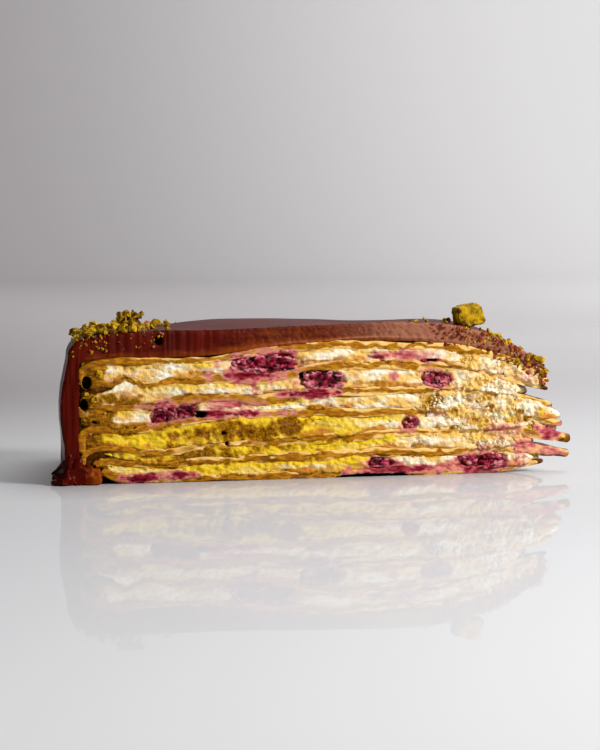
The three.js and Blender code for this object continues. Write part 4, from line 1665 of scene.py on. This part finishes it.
def area_light(name, place_mm, target_mm, size_mm, power):
    light = bpy.data.lights.new(name, "AREA")
    light.shape = "RECTANGLE"
    light.size, light.size_y = (side * MM for side in size_mm)
    light.energy = power
    lamp = bpy.data.objects.new(name, light)
    bpy.context.scene.collection.objects.link(lamp)
    aim(lamp, place_mm, target_mm)


# Soft boxes: name, place, what each is turned to, its sides and its power in watts.
LIGHTS = [
    ("key_light", (500, -460, 370), (10, -20, 15), (200, 200), 6.2),
    ("top_light", (240, 120, 640), (60, 0, 10), (500, 400), 2.4),
    ("wall_light", (500, 650, 950), (420, 1500, 60), (1000, 500), 12.5),
]
ROOM_COLOUR, ROOM_STRENGTH = "#e8e8ea", 0.15
CUT_MIDDLE = place(65.0, 0.0, 0.0)
CAMERA_TURN = math.radians(16)
CAMERA_YAW = CAMERA_TURN - math.radians(0.533)
CAMERA_PITCH = math.radians(4.063)
CAMERA_DISTANCE = 675.0
CAMERA_HEIGHT = 73.7
SENSOR = 36.0  # mm along the picture's long side
FOCAL = 130.56  # mm


def backdrop_mesh():
    """A board that turns up into a wall, far enough back that a camera fits behind the cake."""
    bend, start = 500.0, 1300.0
    profile = [(-1800.0, 0.0), (-300.0, 0.0), (100.0, 0.0), (500.0, 0.0)]
    for angle in np.linspace(0, math.pi / 2, 25):
        profile.append((start + bend * math.sin(angle), bend * (1 - math.cos(angle))))
    profile.append((start + bend, 2200.0))
    columns = np.linspace(-2400, 2400, 9)
    points = np.array([[(x, y, z) for x in columns] for y, z in profile])
    index = np.arange(points.size // 3).reshape(points.shape[:2])
    corners = (index[:-1, :-1], index[:-1, 1:], index[1:, 1:], index[1:, :-1])
    return mesh_of("backdrop", points, np.stack(corners, axis=-1).reshape(-1, 4))


# Painted light and shade on the backdrop: the axis, from where to where on it in metres, and the
# shade it turns to.
BACKDROP_PAINTED_LIGHT = [
    ("X", 0.1, 0.9, "#f0eff0"),  # the wall, paler to the right
    ("X", 0.12, -0.3, "#0c0c0c"),  # and dark far off to the left
    ("Y", 0.3, -0.02, "#cbcbcd"),  # the board round the cake
    ("Y", -0.05, -0.38, "#ededee"),  # and in front of it
]


def backdrop_material():
    """A sheet of white acrylic: pale, with a faint mirror-like shine near the cake, and duller
    towards the back. Its colour holds painted light and shade: greyer towards the back, paler to
    the right and in front of the cake, darker round the cake and dark far off to the left."""
    material, tree = new_material("white_acrylic_sheet")
    spot = add(tree, "ShaderNodeTexCoord").outputs["Object"]
    spot = add(tree, "ShaderNodeSeparateXYZ", {"Vector": spot})
    colour = linear("#a9a5a6")
    # Painted light and shade, laid one by one over the grey of the wall.
    for axis, start, end, shade in BACKDROP_PAINTED_LIGHT:
        colour = laid_over(tree, colour, shade, spot.outputs[axis], start, end)
    wear = (spot.outputs["Y"], 0.3, 1.3, 0.015, 0.9)
    finish(tree, colour, wear, kind="SMOOTHSTEP", IOR=1.045, Specular_IOR_Level=0.5)
    return material


class CAKE_OT_stage(bpy.types.Operator):
    """Makes the board, the lights and the camera"""

    bl_idname = "cake.stage"
    bl_label = "Stage"

    def execute(self, context):
        scene = bpy.context.scene
        mesh = backdrop_mesh()
        mesh.materials.append(backdrop_material())
        board = bpy.data.objects.new("backdrop", mesh)
        scene.collection.objects.link(board)
        for light in LIGHTS:
            area_light(*light)
        world = bpy.data.worlds.new("studio")
        scene.world = world
        world.use_nodes = True
        background = world.node_tree.nodes["Background"]
        background.inputs["Color"].default_value = linear(ROOM_COLOUR)
        background.inputs["Strength"].default_value = ROOM_STRENGTH
        camera = bpy.data.cameras.new("camera")
        camera.lens = FOCAL
        camera.sensor_width = SENSOR
        camera.clip_start = 0.01
        eye = bpy.data.objects.new("camera", camera)
        scene.collection.objects.link(eye)
        away = np.array([-math.sin(CAMERA_TURN), -math.cos(CAMERA_TURN), 0]) * CAMERA_DISTANCE
        at = CUT_MIDDLE + away + (0, 0, CAMERA_HEIGHT)
        level = np.array([math.sin(CAMERA_YAW), math.cos(CAMERA_YAW), 0]) * math.cos(CAMERA_PITCH)
        aim(eye, at, at + (level - (0, 0, math.sin(CAMERA_PITCH))) * CAMERA_DISTANCE)
        scene.camera = eye
        scene.view_settings.view_transform = "Standard"
        return {"FINISHED"}


class CAKE_PT_panel(bpy.types.Panel):
    """Lists the cake's pieces and settings"""

    bl_idname = "CAKE_PT_panel"
    bl_label = "Crepe cake"
    bl_space_type = "VIEW_3D"
    bl_region_type = "UI"
    bl_category = "Cake"

    def draw(self, context):
        for operator in OPERATORS:
            self.layout.operator(operator.bl_idname)
        for settings in (context.scene.cake_sizes, context.scene.cake_colours):
            box = self.layout.box()
            for name in settings.__annotations__:
                box.prop(settings, name)


OPERATORS = (
    CAKE_OT_crepes,
    CAKE_OT_creams,
    CAKE_OT_ganache,
    CAKE_OT_berries,
    CAKE_OT_nuts,
    CAKE_OT_stage,
)
CLASSES = (CakeColours, CakeSizes, *OPERATORS, CAKE_PT_panel)


def register():
    for item in CLASSES:
        bpy.utils.register_class(item)
    bpy.types.Scene.cake_colours = bpy.props.PointerProperty(type=CakeColours)
    bpy.types.Scene.cake_sizes = bpy.props.PointerProperty(type=CakeSizes)


def unregister():
    del bpy.types.Scene.cake_sizes
    del bpy.types.Scene.cake_colours
    for item in reversed(CLASSES):
        bpy.utils.unregister_class(item)


def main():
    register()
    bpy.ops.cake.crepes()
    bpy.ops.cake.creams()
    bpy.ops.cake.ganache()
    bpy.ops.cake.berries()
    bpy.ops.cake.nuts()
    bpy.ops.cake.stage()


if __name__ == "__main__":
    main()
